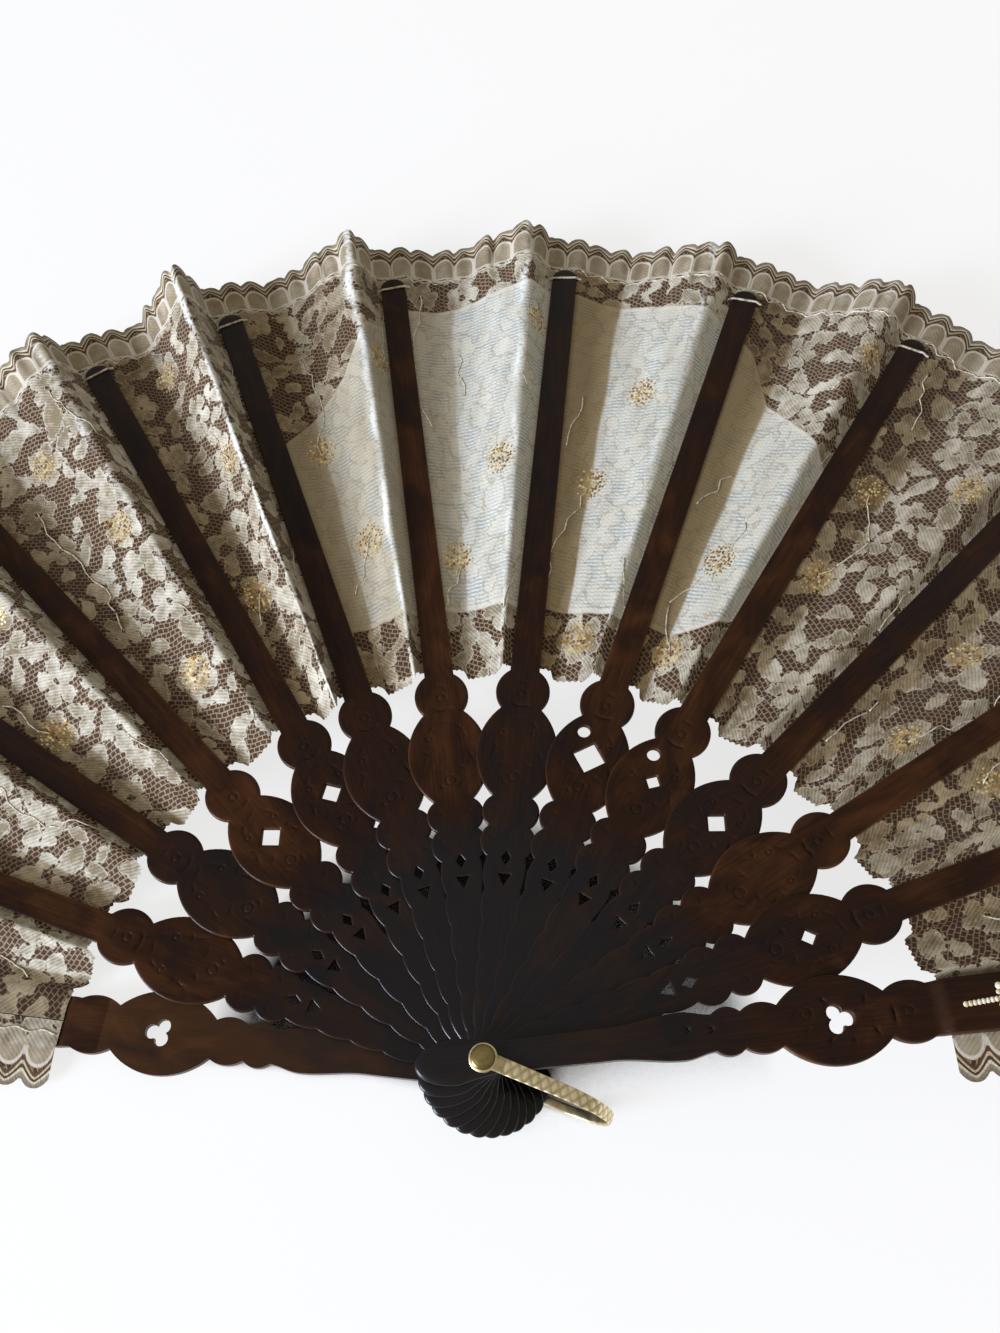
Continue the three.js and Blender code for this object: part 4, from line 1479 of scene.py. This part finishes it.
@dataclass(frozen=True)
class Leaf:
    """The pleated lace leaf: a piece for each gap between two sticks, and an end on each guard.

    A pleat lies flat under each stick, dips to a valley after it and rises to a crest before the
    next. It is made in rings, a piece for each. A pair of sizes holds that at the leaf's inner
    edge and that at its outer edge. A sprig is placed by its share across the pleat and its
    distance from the rivet. Each pleat takes its weave and its pattern from a place and a seed of
    its own.
    """

    finishes: Finishes
    glued_beyond: float = 0.6
    slip_half: float = 3.3
    blade_half: tuple[float, float] = (5.1, 6.7)
    valley_offset: tuple[float, float] = (2.9, 11.6)
    valley_depth: tuple[float, float] = (1.0, 4.0)
    crest_offset: tuple[float, float] = (1.4, 5.6)
    crest_shares: tuple[float, float] = (0.22, 1)
    crest_heights: tuple[float, ...] = (7, 8, 8, 9, 13, 9, 7, 5, 7, 6, 6, 6, 6)
    columns: tuple[int, ...] = (4, 17, 42, 17, 4)
    softened: tuple[int, int] = (9, 5)
    rows: int = 232
    end_columns: int = 26
    ring_edges: tuple[float, ...] = (87.0, 110.0, 139.0, 176.0, 230.0)
    sag: float = 2.4
    scallop: float = 6.2
    scallop_depth: float = 2.0
    scallop_power: float = 2.4
    arch_steepening: float = 0.42
    petal_half: float = 3.05
    petal_reach: tuple[float, float] = (3.9, 7.6)
    # Painted tan shade: on the strip from each stick to its valley, and over each whole pleat
    valley_shade_tans: tuple[float, ...] = (0.8, 0.8, 0.8, 0.8, 0.9, 0.9, 0.55, 1.1, 1.0, 0.9, 0.9, 0.9, 0.9)
    gap_shade_tans: tuple[float, ...] = (0.1, 0.1, 0.12, 0.12, 0.3, 0.6, 0.15, 0.15, 0.2, 0.4, 0.5, 0.6, 0.65)
    # How much painted highlight lies along each pleat's crest
    ridge_highlight_shares: tuple[float, ...] = (0.4, 0.4, 0.5, 0.6, 1.0, 1.0, 0.75, 0.6, 0.4, 0.1, 0, 0, 0)
    border: float = 10.5
    margin_width: float = 11.5
    pleat_seed: int = 100
    end_seed: int = 300
    pleats_apart_mm: float = 61.0
    ends_apart_mm: float = 900.0
    cord_radius: float = 0.17
    tip_thread_radius: float = 0.3
    tip_thread_half: float = 4.6
    tip_thread_at: float = 206.4
    panel_gaps: tuple[int, ...] = (5, 6, 7, 8)
    panel_inner: float = 103.0
    panel_sides: tuple[float, float] = (59.6, 109.0)
    panel_top: tuple[tuple[float, float], ...] = ((0, 202), (12, 198), (15.5, 190), (18, 176), (26, 158))
    panel_rows: int = 60
    panel_drop: float = 0.5
    end_middle: float = 4.0
    end_half: float = 6.0
    end_borders: tuple[float, float] = (8.0, 12.0)
    end_sprigs: tuple[tuple[float, float], ...] = ((0.3, 112), (0.3, 160))
    sprigs: tuple[tuple[tuple[float, float], ...], ...] = (
        ((0.45, 112), (0.6, 150), (0.35, 186)),
        ((0.6, 128), (0.35, 166), (0.7, 192)),
        ((0.25, 124), (0.6, 158), (0.4, 190)),
        ((0.46, 112), (0.6, 157), (0.44, 188)),
        ((0.27, 123), (0.55, 160), (0.35, 198)),
        ((0.5, 126), (0.3, 158), (0.85, 180)),
        ((0.27, 118), (0.63, 145), (0.85, 190)),
        ((0.48, 96), (0.33, 141), (0.55, 170)),
        ((0.4, 98), (0.48, 126), (0.8, 196)),
        ((0.24, 133), (0.22, 162), (0.7, 172)),
        ((0.67, 110), (0.44, 137), (0.5, 182)),
        ((0.35, 120), (0.6, 156), (0.4, 190)),
        ((0.6, 116), (0.35, 150), (0.65, 184)),
    )

    @property
    def stops(self) -> np.ndarray:
        """The column of each fold line, with both edges of the pleat."""
        return np.cumsum((0, *self.columns))

    def fold_points(self, gap: int, outer: int) -> np.ndarray:
        """Finds where the fold lines meet one edge of a pleat, as the solids have them.

        Args:
            gap: the gap's number, which is also that of the stick before it.
            outer: 1 for the outer edge, or 0 for the inner one.

        Returns:
            A (6, 3) array.
        """
        radius = (LEAF_INNER, LEAF_OUTER)[outer]
        near, far = leaf_level(gap), leaf_level(gap + 1)
        halves = [self.blade_half[outer] if k in GUARDS else self.slip_half for k in (gap, gap + 1)]
        first, last = (half + self.glued_beyond for half in halves)
        crest = far + self.crest_heights[gap] * self.crest_shares[outer]
        valley = max(near - self.valley_depth[outer], 0.1)
        folds = (
            (gap, 0.0, near),
            (gap, -first, near),
            (gap, -first - self.valley_offset[outer], valley),
            (gap + 1, last + self.crest_offset[outer], crest),
            (gap + 1, last, far),
            (gap + 1, 0.0, far),
        )
        return np.array(
            [turned(radius, 0, z + 0.1, stick_angle(stick) + aside / radius) for stick, aside, z in folds]
        )

    def section(self, gap: int, reach: np.ndarray) -> np.ndarray:
        """Finds the pleat's surface at several distances from the rivet.

        Args:
            gap: the gap's number.
            reach: a (rows, columns) array, how far out each point lies.

        Returns:
            A (rows, columns, 3) array.
        """
        edges = []
        columns = np.arange(self.stops[-1] + 1)
        for outer in (0, 1):
            folds = self.fold_points(gap, outer)
            line = np.stack([np.interp(columns, self.stops, axis) for axis in folds.T], -1)
            soft = line.copy()
            for corner, spread in zip(self.stops[2:4], self.softened):
                a, b, c = line[[corner - spread, corner, corner + spread]]
                t = np.linspace(0, 1, 2 * spread + 1)[:, None]
                bow = a * (1 - t) ** 2 + 2 * b * t * (1 - t) + c * t * t
                soft[corner - spread : corner + spread + 1] = bow
            edges.append(soft)
        share = ((reach - LEAF_INNER) / (LEAF_OUTER - LEAF_INNER))[..., None]
        return edges[0] + (edges[1] - edges[0]) * share

    def scallop_height(self, phase: np.ndarray) -> np.ndarray:
        """How far the scalloped edge stands out at each phase."""
        return self.scallop_depth * (1 - np.abs(2 * phase - 1) ** self.scallop_power)

    def panel_reach(self, angle: np.ndarray) -> np.ndarray:
        """How far out the panel behind the leaf goes, at angles in degrees."""
        return np.interp(np.abs(angle - math.degrees(stick_angle(PANEL_STICK))), *zip(*self.panel_top))

    def lining(self, points: np.ndarray) -> np.ndarray:
        """How far inside the panel's outline each point is.

        Args:
            points: the points, in 3-D.

        Returns:
            A distance for each, in millimetres.
        """
        radius = np.hypot(points[..., 0], points[..., 1])
        angle = np.degrees(np.arctan2(points[..., 1], points[..., 0]))
        low, high = self.panel_sides
        sides = np.radians(np.minimum(high - angle, angle - low)) * radius
        bottom = radius - self.panel_inner - 9 * np.clip((68 - angle) / 8, 0, 1) ** 2
        return np.minimum.reduce([sides, self.panel_reach(angle) - radius, bottom])

    def ripples(self, gap: int, place: np.ndarray) -> np.ndarray:
        """The cloth's small waves, none where it is glued, most at its free outer edge.

        Args:
            gap: the gap's number.
            place: the flat places.

        Returns:
            How far up each point goes.
        """
        side, reach = place.real, place.imag
        free = np.zeros(side.shape[1])
        first, last = self.stops[[1, 4]]
        free[first:last] = np.sin(np.linspace(0, np.pi, last - first))
        wave = 0.22 * np.sin(side * 0.42 + reach * 0.11 + gap) * np.sin(reach * 0.085 + 2.1 * gap)
        wave += 0.14 * np.sin(side * 0.9 - reach * 0.31 + 2 * gap)
        frill = 0.75 * np.sin(side * 0.47 + gap * 1.3) + 0.3 * np.sin(side * 1.25 + gap)
        return free * (wave + smooth(reach, 196, 221) * frill)

    def painted_tan_shade(self, gap: int, place: np.ndarray) -> np.ndarray:
        """How tan the cloth is painted: painted shade with glue stain from a stick to the valley, painted
        shade over each pleat by its gap, a plain tan in the border, and less where the crest takes its
        painted highlight.

        Args:
            gap: the gap's number.
            place: the flat places.

        Returns:
            A share for each.
        """
        side, reach = place.real, place.imag
        column = np.arange(side.shape[1]) + 0.5 * np.sin(reach * 0.21)
        strip_shade = self.valley_shade_tans[gap] * (1 - smooth(column, self.stops[2] + 1, self.stops[2] + 4))
        pleat_shade = self.gap_shade_tans[gap] + 0.06 * np.sin(side * 0.3) * np.sin(reach * 0.13)
        start = LEAF_OUTER - self.border
        bordered = smooth(reach, start - 1, start + 2)
        tan_tint = np.maximum(strip_shade, pleat_shade) * (1 - bordered) + 0.3 * bordered
        return tan_tint * (1 - self.ridge_highlight(gap, reach))

    def ridge_highlight(self, gap: int, reach: np.ndarray) -> np.ndarray:
        """How much painted highlight the cloth takes: most along the crest, where the fold catches the
        light.

        Args:
            gap: the gap's number.
            reach: how far out each point lies.

        Returns:
            A share for each.
        """
        column = np.arange(reach.shape[1]) + np.sin(reach * 0.17 + gap) + 0.6 * np.sin(reach * 0.41)
        aside = (column + 1.2 * np.sin(reach * 0.083 + 2 * gap) - self.stops[3] + 2.5) / 3.4
        return self.ridge_highlight_shares[gap] * (0.8 + 0.2 * np.sin(reach * 0.26 + gap)) * np.exp(-(aside**2))

    def arch_depth(self, phase: np.ndarray, inward: np.ndarray) -> np.ndarray:
        """How deep in the border's nested arches each place is; they steepen further in."""
        arch = 1 - np.abs(2 * phase - 1) ** 1.3
        return (self.scallop_depth * arch + inward) / (1 - self.arch_steepening * arch)

    def petals(self, phase: np.ndarray, depth: np.ndarray) -> np.ndarray:
        """How far inside one of the border's petals, round at the top, each place is.

        Args:
            phase: the share of the way through the scallop.
            depth: how far in from the scallops' peaks.

        Returns:
            A distance for each, in millimetres.
        """
        top, widest = self.petal_reach
        aside = np.abs(phase - 0.5) * self.scallop / self.petal_half
        above = np.maximum(widest - depth, 0) / (widest - top)
        return np.minimum((1 - np.hypot(aside, above)) * self.petal_half, self.border + 1 - depth)

    def hang(self, piece: bpy.types.Object, gap: int, radius: float) -> bpy.types.Object:
        """Bakes a piece's place into its mesh; the two sticks and the chord at a radius are handed on, but
        not used.
        """
        ends = [Vector(turned(radius, 0, leaf_level(gap), stick_angle(gap + k))) * MM for k in (0, 1)]
        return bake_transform(piece, stick_body(gap), stick_body(gap + 1), start=ends[0], end=ends[1])

    def ring_rows(self, reach: np.ndarray, edges: Sequence[float]) -> list[tuple[int, int]]:
        """The first and the last row of each ring that the edges cut the rows into."""
        cuts = [0, *np.searchsorted(reach.mean(1), edges).tolist(), len(reach) - 1]
        return list(zip(cuts, cuts[1:]))

    def build_pleat(self, gap: int) -> None:
        """Makes one pleat with its cords.

        Args:
            gap: the gap's number.
        """
        steps = run_lengths(self.section(gap, np.full((1, self.stops[-1] + 1), LEAF_OUTER))[0])
        share = steps / steps[-1]
        count = round(steps[-1] / self.scallop)
        phase = np.mod(share * count, 1.0)
        sag = self.sag * np.clip(2.4 * np.sin(np.pi * np.clip((share - 0.2) / 0.6, 0, 1)), 0, 1)
        inner = LEAF_INNER + 0.35 + 0.2 * np.sin(np.arange(len(steps)) * 0.9 + gap) - sag
        edge = LEAF_OUTER + self.scallop_height(phase)
        reach = inner + (edge - inner) * np.linspace(0, 1, self.rows)[:, None]
        points = self.section(gap, reach)
        side = run_lengths(points)
        place = side - side[:, -1:] / 2 + 1j * reach
        points[..., 2] = np.maximum(points[..., 2] + self.ripples(gap, place), 0.12)
        pleat = Pleat(gap, points, place)
        start = LEAF_OUTER - self.border
        pattern = Pattern(self.pleat_seed + gap, pleat.half, LEAF_INNER, start, self.sprigs[gap])
        motifs = np.where(reach < start, pattern.cloth(place), pattern.outside)
        foot = 0.45 - np.abs(reach - start - 0.2 - 0.5 * np.cos(math.tau * phase))
        petal = self.petals(phase, LEAF_OUTER + self.scallop_depth - reach)
        carried = {
            "trim": (reach > start).astype(float),
            "age": self.painted_tan_shade(gap, place),
            "painted_ridge": self.ridge_highlight(gap, reach),
            "lace_mm": np.stack([place.real + self.pleats_apart_mm * gap, reach, 0 * reach], -1),
            "cloth_mm": np.maximum.reduce([motifs, petal, foot]),
            "gilt_mm": pattern.gilt(place),
            "lining_mm": self.lining(points),
            "border_mm": self.arch_depth(phase, LEAF_OUTER - reach),
        }
        width = 2 * pleat.halves[-1]
        x = np.linspace(-width / 2, width / 2, round(width / 0.8))
        wave = 0.5 * np.cos(math.tau * (x / width + 0.5) * count)
        cords = self.lay_cords(pleat, [*pattern.cords(), x + 1j * (start + 0.2 + wave)])
        sticks = [stick_body(gap), stick_body(gap + 1)]
        for ring, (low, high) in enumerate(self.ring_rows(reach, self.ring_edges[1:-1]), 1):
            rows = slice(low, high + 1)
            values = {key: value[rows] for key, value in carried.items()}
            piece = make_cloth(f"lace_{gap + 1:02d}_ring_{ring}", points[rows], self.finishes.lace, values)
            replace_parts(self.hang(piece, gap, float(pleat.radii[low])), f"leaf_pleat_{gap + 1:02d}")
            widths = [float(run_lengths(points[row])[-1]) * MM for row in (low, high)]
            length = float(pleat.radii[high] - pleat.radii[low]) * MM
            flat, area, sewn = (max(widths), length), sum(widths) / 2 * length, cords[ring - 1]
            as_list(sewn)

    def lay_cords(self, pleat: Pleat, lines: list[np.ndarray]) -> list[list[bpy.types.Object]]:
        """Lays the raised cords on a pleat, ring by ring, a piece for each ring.

        Args:
            pleat: the pleat.
            lines: the cords as flat lines.

        Returns:
            The cords of each ring, none where no line crosses it.
        """
        sewn = []
        for ring, (low, high) in enumerate(zip(self.ring_edges, self.ring_edges[1:]), 1):
            parts = []
            for line in lines:
                held = (line.imag >= low) & (line.imag <= high)
                held &= np.abs(line.real) < pleat.half(line.imag) - pleat.side_margin
                parts += [pleat.carry(run) for run in held_runs(line, held)]
            sewn.append([])
            if parts:
                name = f"cord_{pleat.gap + 1:02d}_ring_{ring}"
                piece = make_cords(name, parts, self.cord_radius, self.finishes.thread)
                self.hang(piece, pleat.gap, max(low, LEAF_INNER))
                sewn[-1].append(piece)
        return sewn

    def build_end(self, stick: int) -> None:
        """Makes the leaf's end beyond a guard, bordered along its side and its top.

        Args:
            stick: the guard's number.
        """
        outward = 1 if stick == 0 else -1
        level, angle = leaf_level(stick) + 0.1, stick_angle(stick)
        along = np.linspace(0, 1, self.rows)[:, None]
        across = np.linspace(0, 1, self.end_columns)
        side_phase = np.mod(along * round((LEAF_OUTER - LEAF_INNER) / self.scallop), 1.0)
        top_phase = np.mod(across * 2, 1.0)
        c = 0.15 + (self.margin_width + self.scallop_height(side_phase) - 0.15) * across
        inner = LEAF_INNER + 0.4
        a = inner + (LEAF_OUTER + self.scallop_height(top_phase) - inner) * along
        drop = 1.5 * smooth(c, 5, 14) + 0.25 * np.sin(a * 0.28) * smooth(c, 6, 12)
        points = turned(a, outward * c, level - drop, angle)
        side_depth = self.margin_width + self.scallop_depth - c
        top_depth = LEAF_OUTER + self.scallop_depth - a
        side_border, top_border = self.end_borders
        high = LEAF_OUTER - side_border
        pattern = Pattern(self.end_seed + stick, lambda y: self.end_half, LEAF_INNER, high, self.end_sprigs)
        place = c - self.end_middle + 1j * a
        in_field = (side_depth > side_border) & (top_depth > top_border)
        motifs = np.where(in_field, pattern.cloth(place), pattern.outside)
        top_petals = np.where(c < self.end_middle, self.petals(top_phase, top_depth), pattern.outside)
        side_band = self.arch_depth(side_phase, self.margin_width - c)
        carried = {
            "trim": (~in_field).astype(float),
            "age": np.full(c.shape, 0.3),
            "painted_ridge": np.zeros(c.shape),
            "lace_mm": np.stack([c + self.ends_apart_mm * stick, a, 0 * a], -1),
            "cloth_mm": np.maximum.reduce([motifs, self.petals(side_phase, side_depth), top_petals]),
            "gilt_mm": pattern.gilt(place),
            "lining_mm": np.full(c.shape, pattern.outside),
            "border_mm": np.minimum(side_band, self.arch_depth(top_phase, LEAF_OUTER - a)),
        }
        node = "leaf_end_back" if stick == 0 else "leaf_end_front"
        if outward < 0:
            points, carried = points[:, ::-1], {key: value[:, ::-1] for key, value in carried.items()}
        piece = make_cloth(f"{node}_lace", points, self.finishes.lace, carried)
        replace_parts(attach(piece, stick_body(stick)), node)
        foot = 2.6 + 0.35 * np.cos(np.arange(150) * 0.9)
        lines = [foot + 1j * np.linspace(LEAF_INNER + 1, LEAF_OUTER - 10, 150)]
        for line in pattern.cords():
            line = line + self.end_middle
            held = (line.real > 0.6) & (line.real < 4.5)
            held &= (line.imag > LEAF_INNER + 1) & (line.imag < LEAF_OUTER - top_border)
            lines += held_runs(line, held)
        sewn = [turned(line.imag, outward * line.real, level + 0.1, angle) for line in lines]
        cord = make_cords(f"{node}_cord", sewn, self.cord_radius, self.finishes.thread)
        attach(cord, stick_body(stick))

    def build_panel(self, gap: int) -> None:
        """Makes the plain fabric behind one pleat.

        Args:
            gap: the gap's number.
        """
        middle = self.section(gap, np.full((1, self.stops[-1] + 1), 150.0))[0]
        high_edge = self.panel_reach(np.degrees(np.arctan2(middle[:, 1], middle[:, 0])))
        share = np.linspace(0, 1, self.panel_rows)[:, None]
        reach = self.panel_inner + (high_edge - self.panel_inner) * share
        points = self.section(gap, reach)
        points[..., 2] = np.maximum(points[..., 2] - self.panel_drop, 0.05)
        side = run_lengths(points)
        name = f"panel_{gap - self.panel_gaps[0] + 1}"
        for ring, (low, high) in enumerate(self.ring_rows(reach, self.ring_edges[2:3]), 1):
            rows = slice(low, high + 1)
            part = points[rows]
            values = {"lace_mm": np.stack([side[rows], reach[rows], 0 * reach[rows]], -1)}
            piece = make_cloth(f"{name}_ring_{ring}", part, self.finishes.linen, values)
            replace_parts(self.hang(piece, gap, float(reach[low].min())), name)
            across, out = part[:-1, 1:] - part[:-1, :-1], part[1:, :-1] - part[:-1, :-1]
            area = float(np.linalg.norm(np.cross(across, out), axis=-1).sum()) * MM * MM
            width = float(side[high, -1]) * MM
            length = float(reach[high].max() - reach[low].min()) * MM
            area = min(area, width * length)

    def build_tip_thread(self, rib: int) -> None:
        """Sews the thread that crosses a rib near its tip and holds it to the leaf.

        Args:
            rib: the rib's number.
        """
        x = np.linspace(-self.tip_thread_half, self.tip_thread_half, 24)
        over = rib_base(rib) + RIB_THICKNESS + 0.22 - 0.75 * smooth(np.abs(x), 2.9, 4.4)
        along = self.tip_thread_at + 0.3 * np.sin(rib * 2.0) - 0.09 * x
        line = turned(along, x, over, stick_angle(rib))
        piece = make_cords(f"tip_thread_{rib:02d}", [line], self.tip_thread_radius, self.finishes.thread)
        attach(piece, stick_body(rib))

    def build(self) -> None:
        """Makes the whole leaf."""
        for gap in range(len(STICK_GAPS)):
            self.build_pleat(gap)
        for stick in GUARDS:
            self.build_end(stick)
        for gap in self.panel_gaps:
            self.build_panel(gap)
        for rib in range(1, FRONT_GUARD):
            self.build_tip_thread(rib)


@dataclass(frozen=True)
class Fittings:
    """The rivet, the bail that hangs on it and the sprig on the front guard.

    The rivet's ends are given by radius and height, the bail's widths from its front eye, over its
    bend, to its rear eye.
    """

    finishes: Finishes
    sticks: Sticks
    pin_radius: float = 1.1
    tail: tuple[float, float] = (2.1, 0.5)
    head: tuple[float, float] = (2.35, 0.9)
    head_base: float = 20.6
    bail_angle: float = -22.0
    bail_reach: float = 26.0
    bail_thickness: float = 0.8
    bail_widths: tuple[float, float, float] = (3.1, 2.3, 1.6)
    bail_step: float = 0.22
    plait_mm: float = 1.9
    plain_end: float = 4.2
    eye_radius: float = 2.7
    eye_hole: float = 1.2
    rear_eye: float = 0.6
    front_eye: float = 19.7
    stem: tuple[float, float] = (90.6, 204.0)
    stem_sway: float = 1.2
    dot_step: float = 0.85
    sprig_pairs: int = 20
    first_pair: float = 97.6

    def build_rivet(self) -> None:
        """Turns the rivet: a flat tail, a pin and a domed head with a shallow ring."""
        (tail, tail_top), (radius, height), base = self.tail, self.head, self.head_base
        profile = [(tail - 0.15, 0.0), (tail, 0.12), (tail, tail_top), (self.pin_radius, tail_top)]
        profile += [(self.pin_radius, base), (radius - 0.1, base)]
        profile += [(radius, base + 0.08), (radius, base + 0.22)]
        for turn in np.linspace(0.25, 1.0, 8)[:-1]:
            ring = 0.07 * math.exp(-(((turn - 0.42) / 0.07) ** 2))
            rise = (height - 0.2) * math.sin(turn * math.pi / 2)
            profile.append((0.98 * radius * math.cos(turn * math.pi / 2), base + 0.2 + rise - ring))
        rings = spun(profile, 36)
        index = numbered(*rings.shape[:2], around=True)
        made = np.vstack([rings.reshape(-1, 3), (0, 0, 0), (0, 0, base + height)])
        faces = cells(index[:, ::-1]) + fan_faces(len(made) - 2, index[0, ::-1])
        faces += fan_faces(len(made) - 1, index[-1])
        carried = {"metal_mm": made, "proud": 0.4 * smooth(made[:, 2], base + 0.2, base + 0.8)}
        piece = make_piece("rivet_turned", made, faces, self.finishes.rivet, carried, 35)
        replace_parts(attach(piece, "back_guard"), "rivet")

    def build_bail(self) -> None:
        """Bends the stamped strap of the bail over the sticks, from eye to eye."""
        half_thick = self.bail_thickness / 2
        low, high = self.rear_eye + half_thick, self.front_eye + half_thick
        bend = (high - low) / 2
        straight = self.bail_reach - bend - half_thick
        leg = np.arange(0, straight, self.bail_step)
        turn = np.linspace(np.pi / 2, -np.pi / 2, round(np.pi * bend / self.bail_step))
        arc = straight + 1j * (low + bend) + bend * np.exp(1j * turn)
        path = np.concatenate([leg + 1j * high, arc, leg[::-1] + 1j * low])
        share = np.linspace(0, 1, len(path))
        width = np.interp(share, [0, 0.5, 1], self.bail_widths)
        widest = self.bail_widths[0]
        swell = np.interp(path.real, [0, 2.2, 5], [2 * self.eye_radius - 2, widest - 0.3, widest - 0.8])
        width = np.where(share < 0.5, np.maximum(width, swell), width)[:, None]
        tangent = np.gradient(path)
        normal = 1j * (tangent / np.abs(tangent))[:, None]
        distance = np.concatenate(([0], np.cumsum(np.abs(np.diff(path)))))[:, None]

        # Across the strap, whose outer side is stamped with a plait
        around = math.tau * np.arange(28) / 28
        c, s = np.cos(around), np.sin(around)
        across = width / 2 * np.copysign(np.abs(c) ** 0.6, c)
        stamped = (s > 0) & (distance > self.plain_end)
        u, v = distance / self.plait_mm, across / width
        plait = stamped * np.abs(np.sin(np.pi * (u + v))) * np.abs(np.sin(np.pi * (u - v)))
        lift = half_thick * np.copysign(np.abs(s) ** 0.75, s) - stamped * 0.2 * (1 - plait) * s
        skin = path[:, None] + normal * lift
        strap = np.stack([skin.real, across, skin.imag], -1)
        index = numbered(len(path), len(around), around=True)
        faces = [*cells(index), index[0, :-1].tolist(), index[-1, :0:-1].tolist()]
        parts, proud = [strap.reshape(-1, 3)], [np.where(s > 0, 0.25 + 0.5 * plait, 0.35).ravel()]

        rim, top = self.eye_radius, self.bail_thickness
        profile = [(self.eye_hole, 0), (rim - 0.12, 0), (rim, 0.12), (rim, top - 0.2), (rim - 0.25, top)]
        eye = spun([*profile, (self.eye_hole, top)], 40)
        ring_index = numbered(*eye.shape[:2], around=True, back=True)[:, ::-1]
        for base in (self.rear_eye, self.front_eye):
            faces += cells(sum(map(len, parts)) + ring_index)
            parts.append((eye + (0, 0, base)).reshape(-1, 3))
            proud.append(np.full(len(parts[-1]), 0.45))
        made = np.vstack(parts)
        placed = turned(*made.T, math.radians(self.bail_angle))
        carried = {"metal_mm": made, "proud": np.concatenate(proud)}
        piece = make_piece("bail_stamped", placed, faces, self.finishes.gilt, carried, 50)
        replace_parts(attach(piece, "bail"), "bail")

    def stem_middle(self, along: float) -> float:
        """How far aside the painted stem winds at a place along the blade."""
        return self.stem_sway * math.cos(along * 0.05)

    def build_sprig(self) -> None:
        """Dots a simple sprig of enamel along the front guard's blade."""
        height = GUARD_THICKNESS + BLADE_STEP - 0.06
        dots = [(a, self.stem_middle(a), height, 0.6) for a in np.arange(*self.stem, self.dot_step)]
        for pair in range(self.sprig_pairs):
            along = self.first_pair + 10 * (pair // 2) + 3.3 * (pair % 2)
            middle = self.stem_middle(along)
            for side in (-1, 1):
                dots += [(along - 0.4, middle + side * 1.2, height, 0.55)]
                dots += [(along, middle + side * 2.3, height, 0.8)]
        index = numbered(2, 8, around=True)
        dome = np.vstack([spun([(1.0, 0.0), (0.75, 0.45)], 8).reshape(-1, 3), (0, 0, 0.62)])
        shape = cells(index[:, ::-1]) + fan_faces(len(dome) - 1, index[-1])
        faces = [[k + len(dome) * dot for k in face] for dot in range(len(dots)) for face in shape]
        places, sizes = np.split(np.array(dots)[:, None], [3], axis=-1)
        placed = self.sticks.placed((places + sizes * dome).reshape(-1, 3), FRONT_GUARD)
        piece = make_piece("front_guard_sprig", placed, faces, self.finishes.enamel, None, 60)
        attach(piece, "front_guard")

    def build(self) -> None:
        """Makes the rivet, the bail and the sprig."""
        self.build_rivet()
        self.build_bail()
        self.build_sprig()


@dataclass(frozen=True)
class Studio:
    """The pale floor, the soft light and the camera."""

    floor_side: float = 6.0
    lens: float = 32.72
    place: tuple[float, float, float] = (10.5, -41.5, 252.7)
    turn: tuple[float, float, float] = (28.01, 1.78, 0.17)
    ambient: str = "#f6efe4"
    ambient_strength: float = 0.44
    key: str = "#dfe9ff"
    key_watts: float = 128.0
    key_place: tuple[float, float, float] = (-1.99, -1.14, 0.76)
    key_aim: tuple[float, float, float] = (0.0, 0.1, 0.01)
    key_side: float = 1.1

    def build_floor(self) -> None:
        """Lays a floor that the camera sees as near white, with the object's shadow on it."""
        corners = np.array([(-1, -1, 0), (1, -1, 0), (1, 1, 0), (-1, 1, 0)]) * (self.floor_side / MM / 2)
        make_piece("floor", corners, [(0, 1, 2, 3)], MattPaper().build())

    def build_light(self) -> None:
        """Sets an even pale world and one large soft lamp, low on the left."""
        world = bpy.data.worlds.new("studio_world")
        bpy.context.scene.world = world
        recipe = Recipe(world)
        seen = recipe.add("LightPath", out="Is Camera Ray")
        even = recipe.add("Background", self.ambient, self.ambient_strength)
        recipe.finish(recipe.add("MixShader", seen, even, recipe.add("Background", "#ffffff", 1.0)))
        lamp = bpy.data.lights.new("window_soft", "AREA")
        lamp.shape, lamp.size = "SQUARE", self.key_side
        lamp.energy, lamp.color = self.key_watts, linear(self.key)[:3]
        placed = put("window_soft", lamp)
        placed.location = self.key_place
        aim = Vector(self.key_aim) - Vector(self.key_place)
        placed.rotation_mode = "QUATERNION"
        placed.rotation_quaternion = aim.to_track_quat("-Z", "Y")

    def build_camera(self) -> None:
        """Puts the camera where the photograph was taken from."""
        data = bpy.data.cameras.new("camera")
        data.lens, data.sensor_width, data.sensor_fit = self.lens, 36.0, "AUTO"
        data.clip_start, data.clip_end = 0.01, 20.0
        camera = put("camera", data)
        x, y, z = (Matrix.Rotation(math.radians(a), 4, axis) for a, axis in zip(self.turn, "XYZ"))
        camera.matrix_world = Matrix.Translation(Vector(self.place) * MM) @ z @ y @ x
        bpy.context.scene.camera = camera

    def build(self) -> None:
        """Sets the whole studio and plain colour handling."""
        self.build_camera()
        self.build_floor()
        self.build_light()
        bpy.context.scene.view_settings.view_transform = "Standard"


def main() -> None:
    """Builds the fan's looks, piece by piece."""
    logging.basicConfig(level=logging.INFO, format="%(name)s: %(message)s")
    Studio().build()
    finishes = Finishes()
    sticks = Sticks(finishes.wood)
    sticks.build()
    Leaf(finishes).build()
    Fittings(finishes, sticks).build()


if __name__ == "__main__":
    main()
